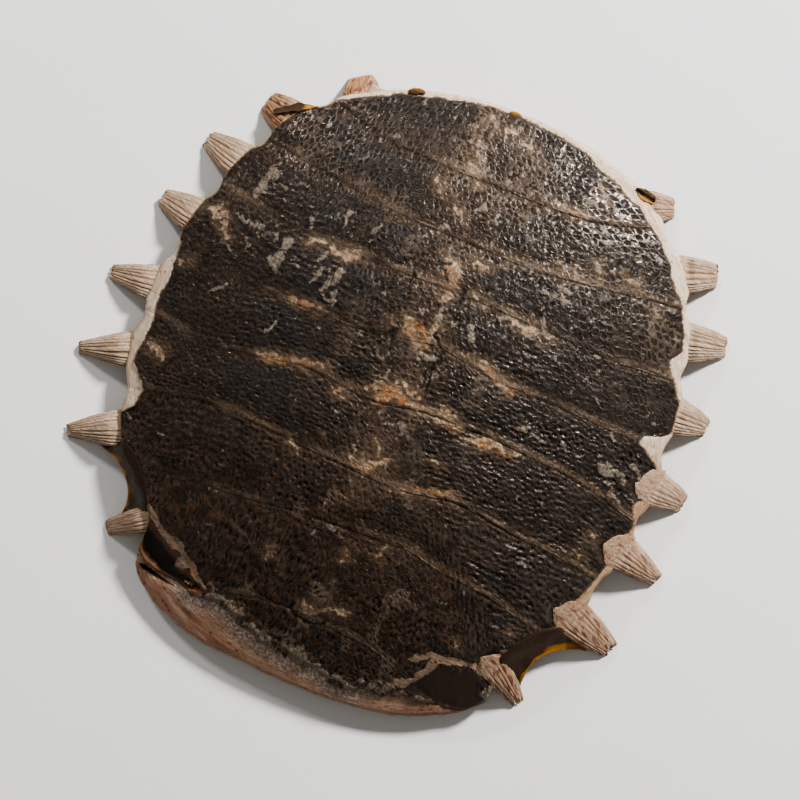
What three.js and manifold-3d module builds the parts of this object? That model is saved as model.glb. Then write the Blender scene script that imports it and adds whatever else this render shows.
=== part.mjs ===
// Dried carapace of a small softshell turtle, in millimetres, lying dome up on its rib ends.
// +Z is up, +Y points to the tail end and the head end faces -Y. Left is -X and right is +X.
// The bony shield, its ribs and the backbone under it are one grown piece. Scraps of dried
// membrane and skin are pieces of their own.

import * as THREE from "three";
import { mergeVertices } from "three/addons/utils/BufferGeometryUtils.js";
import Module from "manifold-3d";

const wasm = await Module();
wasm.setup();

// ---------------------------------------------------------------- driving dimensions
const RIM_TOP = 4.0; // height of the rim's upper edge
const ARCH = 13.5; // rise of the dome above its rim
const ARCH_POWER = 2.1; // how late the dome falls away
const DOME = { x: 50.5, y: 57, squareness: 2.4 }; // the dome's footprint, a rounded oval
const PLATE_MIDDLE = 3.2; // thickness of the shield at the crown
const PLATE_RIM = 1.8; // thickness of the shield at its rim
const RIM_BULGE = 0.4; // how far the rounded rim stands past the plate's edge
const SCALLOP = 1.0; // depth of the bays between the rib ends
const SCALLOP_SHARE = 0.3; // half width of a bay, as a share of the angle between two ribs
const RIB_HEAD = 1.2; // where a rib starts, inside the backbone
const RIB_NECK = 3.2; // width of a rib where it starts
const RIB_BURIED = 0.4; // how far a rib's axis lies inside the shield
const REST_SINK = 0.7; // how far each rib tip is worn away where the shell rests
const GAP = 0.35; // clearance between the shield and each dried film
const SECTORS = 90;
const RING_SHARES = [0.18, 0.38, 0.57, 0.74, 0.88, 1];
const RIB_SIDES = 8;

// Rim of the shield: angle in degrees from +X towards +Y, and radius.
const RIM = [
  [-131, 51.5], [-125, 59.3], [-118, 60.2], [-110, 59.6], [-98, 57.2], [-88, 57.0], [-80, 57.5],
  [-68, 58.8], [-56, 58.9], [-51, 58.0], [-47, 51.5], [-42, 50.0], [-36, 49.5], [-33, 51.5],
  [-24, 50.6], [-15, 49.6], [-5, 49.3], [2, 49.4], [10, 49.3], [18, 50.1], [27, 51.8],
  [35, 53.6], [43, 55.7], [52, 57.0], [63, 57.4], [75, 56.7], [90, 55.8], [105, 55.8],
  [120, 56.0], [131, 56.0], [140, 54.0], [150, 52.3], [160, 51.0], [172, 50.6], [180, 50.6],
  [190, 51.2], [200, 51.6], [208, 52.4], [214, 52.6], [218, 51.3], [224, 50.6], [229, 51.5],
];

// Ribs in order from the head end. Base and tip are points in plan; spine is where the rib
// joins the backbone; width is the rib end's at its base and blunt its share left at the tip.
const RIBS = {
  left: [
    { spine: -35, base: [-34.5, -39.0], tip: [-42.0, -44.6], width: 5.6, blunt: 0.45 },
    { spine: -20, base: [-45.8, -25.7], tip: [-56.3, -30.6], width: 7.4, blunt: 0.3 },
    { spine: -7.5, base: [-49.8, -11.5], tip: [-60.0, -15.3], width: 6.6, blunt: 0.28 },
    { spine: 5, base: [-50.4, 1.7], tip: [-59.8, 0.2], width: 6.6, blunt: 0.3 },
    { spine: 16, base: [-48.2, 16.0], tip: [-56.2, 16.8], width: 7.0, blunt: 0.4 },
    { spine: 26, base: [-44.5, 28.6], tip: [-52.2, 30.1], width: 7.2, blunt: 0.5 },
    { spine: 36.5, base: [-38.8, 39.4], tip: [-44.4, 40.6], width: 7.0, blunt: 0.75 },
    { spine: 46, base: [-28.2, 48.3], tip: [-30.1, 51.4], width: 6.8, blunt: 0.7 },
  ],
  right: [
    { spine: -35, base: [34.5, -39.0], tip: [41.9, -44.1], width: 5.4, blunt: 0.4 },
    { spine: -20, base: [44.8, -25.0], tip: [53.9, -28.4], width: 7.4, blunt: 0.5 },
    { spine: -7.5, base: [48.3, -10.6], tip: [56.6, -13.0], width: 6.8, blunt: 0.35 },
    { spine: 5, base: [49.2, 2.6], tip: [55.4, 1.9], width: 6.6, blunt: 0.55 },
    { spine: 16, base: [47.5, 16.3], tip: [53.9, 16.4], width: 7.0, blunt: 0.5 },
    { spine: 26, base: [44.2, 29.6], tip: [51.4, 31.3], width: 7.2, blunt: 0.6 },
    { spine: 36.5, base: [39.0, 40.5], tip: [44.8, 42.7], width: 7.4, blunt: 0.7 },
    { spine: 46, base: [28.3, 49.6], tip: [32.6, 51.2], width: 6.0, blunt: 0.6 },
  ],
};

const BACKBONE = { head: -47, tail: 50, width: 5.4, waist: 0.62, depth: 4.4, sides: 8 };

// Dried films: the outline in plan, and how far the underside lies over the shield's rim.
const AMBER = { color: 0x7a5420, roughness: 0.3, metalness: 0 };
const DARK_SKIN = { color: 0x3a3129, roughness: 0.6, metalness: 0 };
const GREY_SKIN = { color: 0x4b4236, roughness: 0.5, metalness: 0 };
const FILM_THICKNESS = 0.7;
const FILMS = {
  right_web_membrane: {
    look: AMBER,
    heightAt: webHeight,
    outline: [
      [34.6, -36.6], [37.0, -31.6], [41.0, -26.5], [46.5, -28.2], [50.2, -29.9], [46.4, -30.8],
      [43.3, -32.6], [41.4, -35.0], [40.6, -38.0], [41.0, -42.0], [38.5, -41.0],
    ],
  },
  left_web_membrane: {
    look: AMBER,
    heightAt: webHeight,
    outline: [
      [-34.6, -36.6], [-37.4, -31.4], [-42.5, -27.0], [-46.8, -28.8], [-50.2, -30.4],
      [-44.6, -31.2], [-42.2, -33.2], [-40.4, -35.4], [-39.6, -38.4], [-40.6, -42.2],
      [-38.4, -41.2],
    ],
  },
  left_skin_curl: {
    look: GREY_SKIN,
    heightAt: scrapHeight,
    outline: [
      [-42.6, 39.0], [-41.6, 41.0], [-38.6, 42.6], [-34.4, 43.6], [-33.6, 42.4], [-37.6, 41.0],
    ],
  },
  right_skin_scrap: {
    look: GREY_SKIN,
    heightAt: scrapHeight,
    outline: [
      [25.0, 50.2], [25.0, 52.0], [26.8, 52.9], [28.9, 52.2], [29.0, 50.6], [27.0, 49.4],
    ],
  },
};

// ---------------------------------------------------------------- small tools
const radians = THREE.MathUtils.degToRad;
const smooth = (t) => t * t * (3 - 2 * t);

function between(table, angle) {
  const first = table[0][0];
  const turned = first + THREE.MathUtils.euclideanModulo(angle - first, 360);
  const next = table.findIndex(([at]) => at > turned);
  const [a0, v0] = table[next - 1];
  const [a1, v1] = table[next];
  return THREE.MathUtils.lerp(v0, v1, smooth((turned - a0) / (a1 - a0)));
}

function angleOf([x, y]) {
  return THREE.MathUtils.radToDeg(Math.atan2(y, x));
}

// A closed mesh as a manifold-3d solid.
function solidOf(geometry) {
  const bare = geometry.clone();
  bare.deleteAttribute("normal");
  bare.deleteAttribute("uv");
  const merged = mergeVertices(bare, 1e-4);
  return new wasm.Manifold(
    new wasm.Mesh({
      numProp: 3,
      vertProperties: merged.attributes.position.array,
      triVerts: new Uint32Array(merged.index.array),
    }),
  );
}

function geometryOf(solid) {
  const mesh = solid.getMesh();
  const geometry = new THREE.BufferGeometry();
  geometry.setAttribute("position", new THREE.BufferAttribute(mesh.vertProperties, 3));
  geometry.setIndex(new THREE.BufferAttribute(mesh.triVerts, 1));
  geometry.computeVertexNormals();
  return geometry;
}

// The largest body of a solid, without any sliver that a cut leaves beside it.
function mainBody(solid) {
  return solid.decompose().sort((a, b) => b.volume() - a.volume())[0];
}

// Skins a row of rings, each a list of the same number of points, and closes both ends on a
// point. Rings run from the first cap to the last, counterclockwise seen from the last.
function skinned(rings, firstCap, lastCap) {
  const count = rings[0].length;
  const points = [firstCap, ...rings.flat(), lastCap];
  const at = (ring, i) => 1 + ring * count + (i % count);
  const faces = [];
  for (let i = 0; i < count; i++) {
    faces.push([0, at(0, i + 1), at(0, i)]);
    for (let ring = 0; ring + 1 < rings.length; ring++) {
      faces.push([at(ring, i), at(ring, i + 1), at(ring + 1, i + 1)]);
      faces.push([at(ring, i), at(ring + 1, i + 1), at(ring + 1, i)]);
    }
    faces.push([points.length - 1, at(rings.length - 1, i), at(rings.length - 1, i + 1)]);
  }
  const geometry = new THREE.BufferGeometry().setFromPoints(points);
  geometry.setIndex(faces.flat());
  return geometry;
}

// A ring of points, each worked out from the cosine and sine of its turn.
function oval(count, pointAt) {
  return Array.from({ length: count }, (_, i) => {
    const turn = (i / count) * 2 * Math.PI;
    return new THREE.Vector3(...pointAt(Math.cos(turn), Math.sin(turn)));
  });
}

function centreOf(ring) {
  const sum = ring.reduce((total, point) => total.add(point), new THREE.Vector3());
  return sum.divideScalar(ring.length);
}

// ---------------------------------------------------------------- the shield's surface
// The rim draws in a little between each two rib ends, from the second pair to the last.
const BAYS = Object.values(RIBS).flatMap((side) =>
  side.slice(2).map((rib, i) => {
    const here = angleOf(rib.base);
    const before = angleOf(side[i + 1].base);
    const span = THREE.MathUtils.euclideanModulo(here - before + 180, 360) - 180;
    return { middle: before + span / 2, reach: Math.abs(span) * SCALLOP_SHARE };
  }),
);

function rimRadius(angle) {
  let radius = between(RIM, angle);
  for (const { middle, reach } of BAYS) {
    const off = Math.abs(THREE.MathUtils.euclideanModulo(angle - middle + 180, 360) - 180);
    if (off < reach) radius -= SCALLOP * Math.cos((off / reach) * (Math.PI / 2)) ** 2;
  }
  return radius;
}

// How far out a point lies: 0 at the crown and 1 on the dome's footprint.
function outward(x, y) {
  const power = DOME.squareness;
  return (Math.abs(x / DOME.x) ** power + Math.abs(y / DOME.y) ** power) ** (1 / power);
}

const topAt = (x, y) => RIM_TOP + ARCH * (1 - outward(x, y) ** ARCH_POWER);
const undersideAt = (x, y) =>
  topAt(x, y) - THREE.MathUtils.lerp(PLATE_MIDDLE, PLATE_RIM, Math.min(outward(x, y), 1) ** 2);
const edgeAt = (x, y) => (topAt(x, y) + undersideAt(x, y)) / 2;

function plateRing(share, heightAt, bulge = 0) {
  return Array.from({ length: SECTORS }, (_, i) => {
    const angle = (i / SECTORS) * 360;
    const radius = rimRadius(angle) * share + bulge;
    const x = radius * Math.cos(radians(angle));
    const y = radius * Math.sin(radians(angle));
    return new THREE.Vector3(x, y, heightAt(x, y));
  });
}

function makePlate() {
  const under = RING_SHARES.map((share) => plateRing(share, undersideAt));
  const over = RING_SHARES.map((share) => plateRing(share, topAt)).reverse();
  return skinned(
    [...under, plateRing(1, edgeAt, RIM_BULGE), ...over],
    new THREE.Vector3(0, 0, undersideAt(0, 0)),
    new THREE.Vector3(0, 0, topAt(0, 0)),
  );
}

// ---------------------------------------------------------------- ribs and backbone
// A rib's cross sections from the backbone out to its tip. Those under the shield follow its
// underside, and those past the rim (past > 0) come down to the surface that the shell lies on.
function ribSections({ spine, base, tip, width, blunt }) {
  const start = new THREE.Vector2(Math.sign(base[0]) * RIB_HEAD, spine);
  const rim = new THREE.Vector2(...base);
  const end = new THREE.Vector2(...tip);
  const inner = rim.clone().lerp(end, -0.35);
  const under = [0, 0.2, 0.4, 0.6, 0.8, 1].map((share) => ({
    at: start.clone().lerp(inner, share),
    wide: THREE.MathUtils.lerp(RIB_NECK, width * 0.8, share),
    tall: 2.7,
    past: 0,
  }));
  const shown = [
    { past: 0, wide: width, tall: 3.0 },
    { past: 0.35, wide: width * 0.9, tall: 2.9 },
    { past: 0.7, wide: width * (0.4 + 0.5 * blunt), tall: 2.6 },
    { past: 0.92, wide: width * blunt, tall: 2.1 },
    { past: 1, wide: width * blunt * 0.55, tall: 1.6 },
  ].map((section) => ({ ...section, at: rim.clone().lerp(end, section.past) }));
  return [...under, ...shown];
}

// A rib runs from the backbone under the shield, and its flattened end stands out past the rim.
function makeRib(rib) {
  const sections = ribSections(rib);
  const rings = sections.map(({ at, wide, tall, past }, i) => {
    const held = undersideAt(...(past > 0 ? rib.base : at.toArray())) + RIB_BURIED;
    const middle = THREE.MathUtils.lerp(held, tall / 2 - REST_SINK, smooth(past));
    const before = sections[Math.max(i - 1, 0)].at;
    const after = sections[Math.min(i + 1, sections.length - 1)].at;
    const along = after.clone().sub(before).normalize();
    return oval(RIB_SIDES, (cos, sin) => {
      const across = (cos * wide) / 2;
      return [at.x - along.y * across, at.y + along.x * across, middle + (sin * tall) / 2];
    });
  });
  return skinned(rings, centreOf(rings[0]), centreOf(rings.at(-1)));
}

// The backbone hangs under the middle of the shield. Its bodies are widest where ribs meet it.
function makeBackbone() {
  const { head, tail, width, waist, depth, sides } = BACKBONE;
  const joints = [head, ...RIBS.left.map((rib) => rib.spine), tail];
  const stations = joints.slice(0, -1).flatMap((y, i) => [
    { y, wide: 1 },
    { y: THREE.MathUtils.lerp(y, joints[i + 1], 0.3), wide: waist },
    { y: THREE.MathUtils.lerp(y, joints[i + 1], 0.7), wide: waist },
  ]);
  const rings = [...stations, { y: tail, wide: 1 }].reverse().map(({ y, wide }) => {
    const taper = 1 - 0.35 * (y / tail) ** 2;
    const middle = undersideAt(0, y) - depth * taper * 0.25;
    return oval(sides, (cos, sin) => [
      (cos * width * wide * taper) / 2,
      y,
      middle + sin * depth * taper * (0.5 + 0.25 * wide),
    ]);
  });
  return skinned(rings, centreOf(rings[0]), centreOf(rings.at(-1)));
}

// Everything below the surface that the shell lies on is worn flat.
function makeGround() {
  const slab = new THREE.BoxGeometry(200, 200, 10);
  slab.translate(0, 0, -5);
  return slab;
}

function makeCarapace() {
  const ribs = Object.values(RIBS).flat().map(makeRib);
  const grown = [makeBackbone(), ...ribs]
    .map(solidOf)
    .reduce((whole, piece) => whole.add(piece), solidOf(makePlate()));
  return mainBody(grown.subtract(solidOf(makeGround())));
}

// ---------------------------------------------------------------- dried films
// A thin sheet over an outline, with its underside at the height given for each point.
function makeFilm(outline, heightAt) {
  const shape = new THREE.Shape(outline.map(([x, y]) => new THREE.Vector2(x, y)));
  const sheet = new THREE.ExtrudeGeometry(shape, { depth: FILM_THICKNESS, bevelEnabled: false });
  const position = sheet.attributes.position;
  for (let i = 0; i < position.count; i++) {
    position.setZ(i, position.getZ(i) + heightAt(position.getX(i), position.getY(i)));
  }
  return sheet;
}

// Cuts a film back from the shield all round, so that the two stay a hair apart.
function clearOf(film, shield) {
  const steps = [-1, 0, 1];
  let left = film;
  for (const x of steps)
    for (const y of steps)
      for (const z of steps) left = left.subtract(shield.translate([x * GAP, y * GAP, z * GAP]));
  return mainBody(left);
}

// A web membrane lies level with the rim's lower half and falls away outwards.
function webHeight(x, y) {
  const past = Math.max(0, Math.hypot(x, y) - rimRadius(angleOf([x, y])));
  return 2.9 - 0.16 * past;
}

function scrapHeight(x, y) {
  return topAt(x, y) + GAP;
}

// ---------------------------------------------------------------- assembly
function nodeOf(name, solid, look) {
  const mesh = new THREE.Mesh(geometryOf(solid), new THREE.MeshStandardMaterial(look));
  mesh.name = name;
  return mesh;
}

const shell = new THREE.Group();
const carapace = makeCarapace();
shell.add(nodeOf("carapace", carapace, DARK_SKIN));
for (const [name, { look, heightAt, outline }] of Object.entries(FILMS)) {
  shell.add(nodeOf(name, clearOf(solidOf(makeFilm(outline, heightAt)), carapace), look));
}

// The origin is the middle of the shell's footprint, on the surface that it lies on.
const middle = new THREE.Box3().setFromObject(shell).getCenter(new THREE.Vector3());
shell.position.set(-middle.x, -middle.y, 0);

export default shell;
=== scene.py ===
"""Dried upper shell of a small softshell turtle, dome up on a pale floor.

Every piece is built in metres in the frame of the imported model. Shapes are worked out in
millimetres about the shell's own middle, with +Y towards the tail, and placed by to_frame.
"""

import math

import bmesh
import bpy
import numpy as np
from bpy.props import FloatProperty, FloatVectorProperty, IntProperty, PointerProperty
from bpy.types import Operator, Panel, PropertyGroup
from mathutils import Matrix, Vector


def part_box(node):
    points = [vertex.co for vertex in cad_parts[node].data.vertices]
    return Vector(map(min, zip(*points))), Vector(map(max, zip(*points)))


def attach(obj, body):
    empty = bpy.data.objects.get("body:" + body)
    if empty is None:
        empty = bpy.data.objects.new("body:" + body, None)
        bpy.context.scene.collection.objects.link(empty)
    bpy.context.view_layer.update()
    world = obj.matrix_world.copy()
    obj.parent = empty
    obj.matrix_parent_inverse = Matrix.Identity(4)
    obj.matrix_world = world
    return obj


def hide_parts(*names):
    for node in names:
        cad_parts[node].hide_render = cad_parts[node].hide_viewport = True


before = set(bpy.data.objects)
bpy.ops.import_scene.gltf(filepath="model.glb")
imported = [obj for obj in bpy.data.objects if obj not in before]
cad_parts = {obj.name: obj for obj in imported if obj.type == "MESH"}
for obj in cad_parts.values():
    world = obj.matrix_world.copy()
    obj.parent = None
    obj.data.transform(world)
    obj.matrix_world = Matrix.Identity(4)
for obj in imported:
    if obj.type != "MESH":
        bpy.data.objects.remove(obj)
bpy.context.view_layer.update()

bl_info = {
    "name": "Turtle Shell",
    "version": (1, 0, 0),
    "blender": (4, 5, 0),
    "location": "3D View > Sidebar > Turtle Shell",
    "description": "Builds a dried softshell turtle carapace with its skin, rib ends and films",
    "category": "Add Mesh",
}

MM = 0.001
FAR = 9.0  # millimetres, where nothing is near

# ------------------------------------------------------------------ the frame of the bone
SCRAP_CORNER = (25.0, 49.4)  # lowest corner of the right skin scrap, about the shell's middle
MIDDLE = np.array(
    [
        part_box("right_skin_scrap")[0].x / MM - SCRAP_CORNER[0],
        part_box("right_skin_scrap")[0].y / MM - SCRAP_CORNER[1],
        0.0,
    ]
)

RIM_TOP = 4.0
ARCH = 13.5
ARCH_POWER = 2.1
DOME_X = 50.5
DOME_Y = 57.0
DOME_SQUARENESS = 2.4
PLATE_MIDDLE = 3.2
PLATE_RIM = 1.8
SCALLOP = 1.0
SCALLOP_SHARE = 0.3
REST_SINK = 0.7
SHIELD_RADIUS = 54.0  # mean radius, at which the shield's turns are laid out
SKIN_RADIUS = 50.0  # the same for the skin
SKIN_THICK = 0.16
SHIELD_CELLS = 230  # faces across each sheet, or around and along each spindle
UNDERSIDE_CELLS = 120
SKIN_BASE_CELLS = 60
WEB_CELLS = (64, 28)
CURL_CELLS = (60, 16)
SCRAP_CELLS = (34, 34)
RIB_END_CELLS = (220, 25)
RIB_CELLS = (28, 36)
BACKBONE_CELLS = (40, 180)
CHIP_CELLS = (24, 20)
SEAM_REACH = 62.0
SEAM_STEPS = 9  # steps over which the seams are smoothed

# Rim of the shield: angle in degrees from +X towards +Y, and radius.
RIM = [
    (-131, 51.5), (-125, 59.3), (-118, 60.2), (-110, 59.6), (-98, 57.2), (-88, 57), (-80, 57.5),
    (-68, 58.8), (-56, 58.9), (-51, 58), (-47, 51.5), (-42, 50), (-36, 49.5), (-33, 51.5),
    (-24, 50.6), (-15, 49.6), (-5, 49.3), (2, 49.4), (10, 49.3), (18, 50.1), (27, 51.8),
    (35, 53.6), (43, 55.7), (52, 57), (63, 57.4), (75, 56.7), (90, 55.8), (105, 55.8), (120, 56),
    (131, 56), (140, 54), (150, 52.3), (160, 51), (172, 50.6), (180, 50.6), (190, 51.2),
    (200, 51.6), (208, 52.4), (214, 52.6), (218, 51.3), (224, 50.6), (229, 51.5),
]

# Ribs from the head end: spine, base, tip, width, blunt, how far the bare base of the rib
# end lies over the shield's skin, and how strongly it is stained amber.
LEFT_RIBS = [
    (-35, (-34.5, -39.0), (-42.0, -44.6), 5.6, 0.45, 0.0, 0.2),
    (-20, (-45.8, -25.7), (-56.3, -30.6), 7.4, 0.12, 0.0, 0.05),
    (-7.5, (-49.8, -11.5), (-60.0, -15.3), 6.8, 0.15, 0.0, 0.05),
    (5, (-50.4, 1.7), (-59.8, 0.2), 6.8, 0.3, 0.0, 0.1),
    (16, (-48.2, 16.0), (-56.2, 16.8), 7.2, 0.4, 0.0, 0.2),
    (26, (-44.5, 28.6), (-52.2, 30.1), 7.4, 0.4, 0.0, 0.2),
    (36.5, (-38.8, 39.4), (-44.4, 40.6), 7.2, 0.7, 0.0, 0.95),
    (46, (-28.2, 48.3), (-30.1, 51.4), 6.8, 0.7, 0.0, 1.1),
]
RIGHT_RIBS = [
    (-35, (34.9, -39.0), (42.0, -44.2), 6.4, 0.2, 0.8, 1.0),
    (-20, (44.8, -25.0), (53.9, -28.4), 7.6, 0.4, 2.6, 0.9),
    (-7.5, (48.3, -10.6), (56.6, -13.0), 7.0, 0.25, 2.4, 0.65),
    (5, (49.2, 2.6), (55.4, 1.9), 7.0, 0.5, 2.0, 0.35),
    (16, (47.5, 16.3), (53.9, 16.4), 7.2, 0.4, 0.0, 0.25),
    (26, (44.2, 29.6), (51.4, 31.3), 7.2, 0.5, 0.0, 0.2),
    (36.5, (39.0, 40.5), (44.8, 42.7), 7.4, 0.6, 0.0, 0.3),
    (46, (28.3, 49.6), (32.6, 51.2), 6.0, 0.6, 0.0, 0.6),
]

# Seams between the plates, head to tail, as points in plan.
SEAMS = [
    [(-62, -62), (62, -62)],
    [(-50, -52), (-30.5, -47.8), (-23.5, -48.3), (-15, -45.5), (-9, -43.6), (-1.5, -43.1),
    (4.6, -43.7), (13.7, -44.3), (20.2, -47), (30, -50), (50, -52)],
    [(-62, -36), (-36.2, -31.4), (-30.5, -29.1), (-27.6, -28.4), (-22.6, -27.6), (-19.5, -27.6),
    (-8, -25.4), (0, -25), (12.5, -24.2), (19.3, -25.8), (27.3, -26.5), (31.5, -27.5),
    (37.1, -29.2), (62, -35)],
    [(-62, -20), (-46.6, -17.8), (-41.2, -16.2), (-37.1, -15.5), (-33.3, -14.3), (-27.1, -13.8),
    (-7.2, -14.4), (5.9, -14.9), (17.8, -12.8), (30.3, -14.9), (36.1, -14.9), (44.6, -16.7),
    (62, -19)],
    [(-62, -3.4), (-45.7, -3.4), (-36.4, -5), (-26.6, -2.8), (-17.9, -0.8), (-3.6, -1.9), (5.5, 0),
    (18.3, 0.3), (32.4, -0.8), (38.4, -1.8), (48.3, -4.5), (62, -6)],
    [(-62, 7.5), (-48.3, 7.9), (-25.3, 8.8), (-10.6, 9.1), (3.6, 11.9), (15.2, 10), (27.9, 9.9),
    (43.4, 9.4), (62, 9)],
    [(-62, 24), (-45.5, 22.9), (-28.1, 21.3), (-14.5, 21.2), (6.1, 21.9), (25.1, 21.5), (33, 21.2),
    (43.7, 21.9), (62, 22)],
    [(-62, 39), (-40.3, 34), (-28.3, 32.7), (-12.3, 30.9), (14.3, 30.7), (25.9, 32.5),
    (41.8, 34.8), (62, 40)],
    [(-62, 54), (-31.3, 45.5), (-21.7, 42.6), (-11.4, 42), (10.3, 42.2), (19.6, 42.8),
    (24.9, 44.1), (31.4, 46.5), (62, 56)],
    [(-62, 62), (62, 62)],
]
SEAM_MIDDLES = [-62.0, -43.5, -25.0, -14.5, -0.5, 11.0, 21.5, 31.0, 42.0, 62.0]

# Edge of the dried skin, counterclockwise from the first right rib end. Where it lies past
# the rim, the skin reaches the rim and hangs a little over it.
SKIN_EDGE = [
    (36.2, -37.5), (37.6, -34.6), (40.5, -31.6), (43, -30.4), (43.1, -27.3), (41.8, -25.5),
    (42.5, -24), (44.2, -20.9), (44.9, -19.7), (45.8, -16.3), (46.7, -13.1), (46.1, -11.1),
    (45.3, -8.7), (47.2, -8.2), (48.4, -5.2), (47.8, -3.7), (46.7, -2.1), (46.7, -1.1),
    (48.1, -0.1), (47.8, 0.9), (47.3, 3.5), (48.7, 5.8), (44.7, 8.8), (43.5, 9.3), (43.4, 11),
    (46.7, 11.9), (48, 13.2), (48.2, 17), (46.3, 20), (44.9, 22.4), (42.3, 25.2), (44.1, 27.5),
    (41.1, 34.6), (37.8, 38.1), (35.4, 41.6), (33.2, 44.1), (29.7, 46.6), (23.4, 50.1),
    (17.6, 52.3), (12.9, 54.2), (6.5, 55.2), (-5.1, 55.2), (-10.8, 54.2), (-16.2, 52.7),
    (-26.5, 48.6), (-30.7, 46.3), (-34.5, 45), (-42.5, 42), (-47.5, 35), (-50.5, 27), (-52.5, 18),
    (-52.5, 15), (-48.5, 10.5), (-47.8, 4), (-48.4, 1), (-47.6, -5.8), (-48.4, -12.6),
    (-45.3, -15.6), (-44.2, -17.1), (-45, -20.6), (-47.2, -23), (-49, -26.5), (-46, -30.5),
    (-41, -33.8), (-38, -37.5), (-36.6, -41), (-34.2, -45.2), (-32.3, -46.8), (-28.1, -47.5),
    (-24.6, -47.9), (-21.9, -48.3), (-18, -48.4), (-14.6, -48.8), (-12, -50.2), (-8.7, -51.2),
    (-3.9, -51.9), (3.8, -52.6), (9, -53.6), (12.9, -53.2), (17.4, -51.8), (21.2, -51.2),
    (26.7, -50.3), (33.7, -48.2), (36.8, -46.9), (37.6, -43.5), (36.4, -40.5),
]

def strokes(*rows):
    """Brush strokes from rows of a width and then the x and y of each point."""
    return [(list(zip(row[1::2], row[2::2])), row[0]) for row in rows]


# Sunken dark films over the two openings beside the nuchal plate; the left one is painted near-black
# as shade.
LEFT_WINDOW = [
    (-34.4, -39.6), (-31.6, -41.3), (-28.7, -42.6), (-26.5, -43.9), (-25, -45.2), (-22.6, -45.9),
    (-20.2, -47), (-22.4, -48.1), (-25, -47.8), (-28.2, -47.2), (-31.6, -46.4), (-33.6, -45),
    (-35.6, -42.5),
]
RIGHT_WINDOW = [
    (23.8, -44.5), (24.9, -43.4), (26.3, -42.4), (27.8, -42.2), (28.5, -42.5), (33, -40.7),
    (33.6, -43.1), (34.6, -45.3), (36.5, -46.1), (37.2, -46.4), (35.4, -47.2), (32.1, -48.5),
    (28.6, -49.1), (25.6, -49.2), (23.3, -49.2), (20.6, -49.3), (21.9, -48.2), (23, -47.1),
    (22.5, -46.3),
]
# Ragged strips of bare bone along those openings.
BONE_STRIPS = strokes(
    (0.9, -36.4, -35.4, -35.1, -36.5, -32.8, -38.5, -31.2, -39.8),
    (1.7, -31.2, -39.8, -29, -40.5, -26.5, -41.4),
    (1, -26.5, -41.4, -24.3, -42.8, -22.2, -44.4, -20.3, -46.2), (1.6, -25.9, -44.2, -24.4, -43.2),
    (0.9, -18.6, -45, -17.8, -45.4), (1.2, -23.8, -47, -22.4, -46.9),
    (1.6, 21, -42.6, 23.4, -41.2, 27, -40.9, 32.2, -39.5),
    (1.4, 32.2, -39.3, 34.8, -37.8, 35.6, -35.4),
    (1.6, 20.2, -48.4, 22.3, -46.9, 23.6, -44.6, 24.4, -42.6),
)
SLIT = [(-32.3, -47.8), (-30.6, -48.1), (-27.7, -48.5), (-24.0, -48.8)]
CRACKS = [
    [(-11.6, -43.1), (-6.5, -43.3), (-1.4, -43.6), (3.6, -43.5)],
    [(4.7, 22.4), (4.4, 19.6), (4.1, 16.8)],
    [(4.8, 10), (4.5, 6.7), (4.3, 3.5)],
    [(-2.7, 25.6), (-0.1, 24.7), (1, 22.9)],
    [(41.2, 0.6), (43.6, 0.2), (46, -1.6)],
    [(-6.3, 24.1), (-5.5, 21.5), (-4.2, 16)],
    [(2.3, 13.7), (4.5, 11.7), (4, 8.7), (3.2, 4.2)],
    [(-5.6, 11.6), (-4.6, 7.9), (-3.2, 6), (-7, 3.4)],
    [(-13, 23.6), (-9.4, 22.7), (-6.3, 24.1), (-4.2, 26.9), (-1.5, 26.1), (0.3, 26)],
    [(-28.3, 21.6), (-24.9, 24.2), (-20.2, 24.1)],
    [(14.2, 35), (16.8, 33.8), (20.4, 34.1)],
]

# Webs of membrane between the first two rib ends, from their inner to their free edges.
RIGHT_WEB_INNER = [(34.8, -39.3), (35.2, -36.2), (37.0, -32.6), (40.0, -29.2), (44.2, -26.2)]
RIGHT_WEB_OUTER = [
    (41, -42.2), (40.5, -38.6), (41.3, -35), (43.3, -32.5), (46.4, -30.7), (50, -30),
]
LEFT_WEB_INNER = [(-34.8, -39.4), (-35.2, -36.0), (-37.6, -31.6), (-41.2, -28.4), (-45.2, -26.4)]
LEFT_WEB_OUTER = [
    (-40.6, -42.2), (-39.7, -38.6), (-40.4, -35.3), (-42.2, -33.1), (-44.8, -31.3), (-50, -30.4),
]

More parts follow.
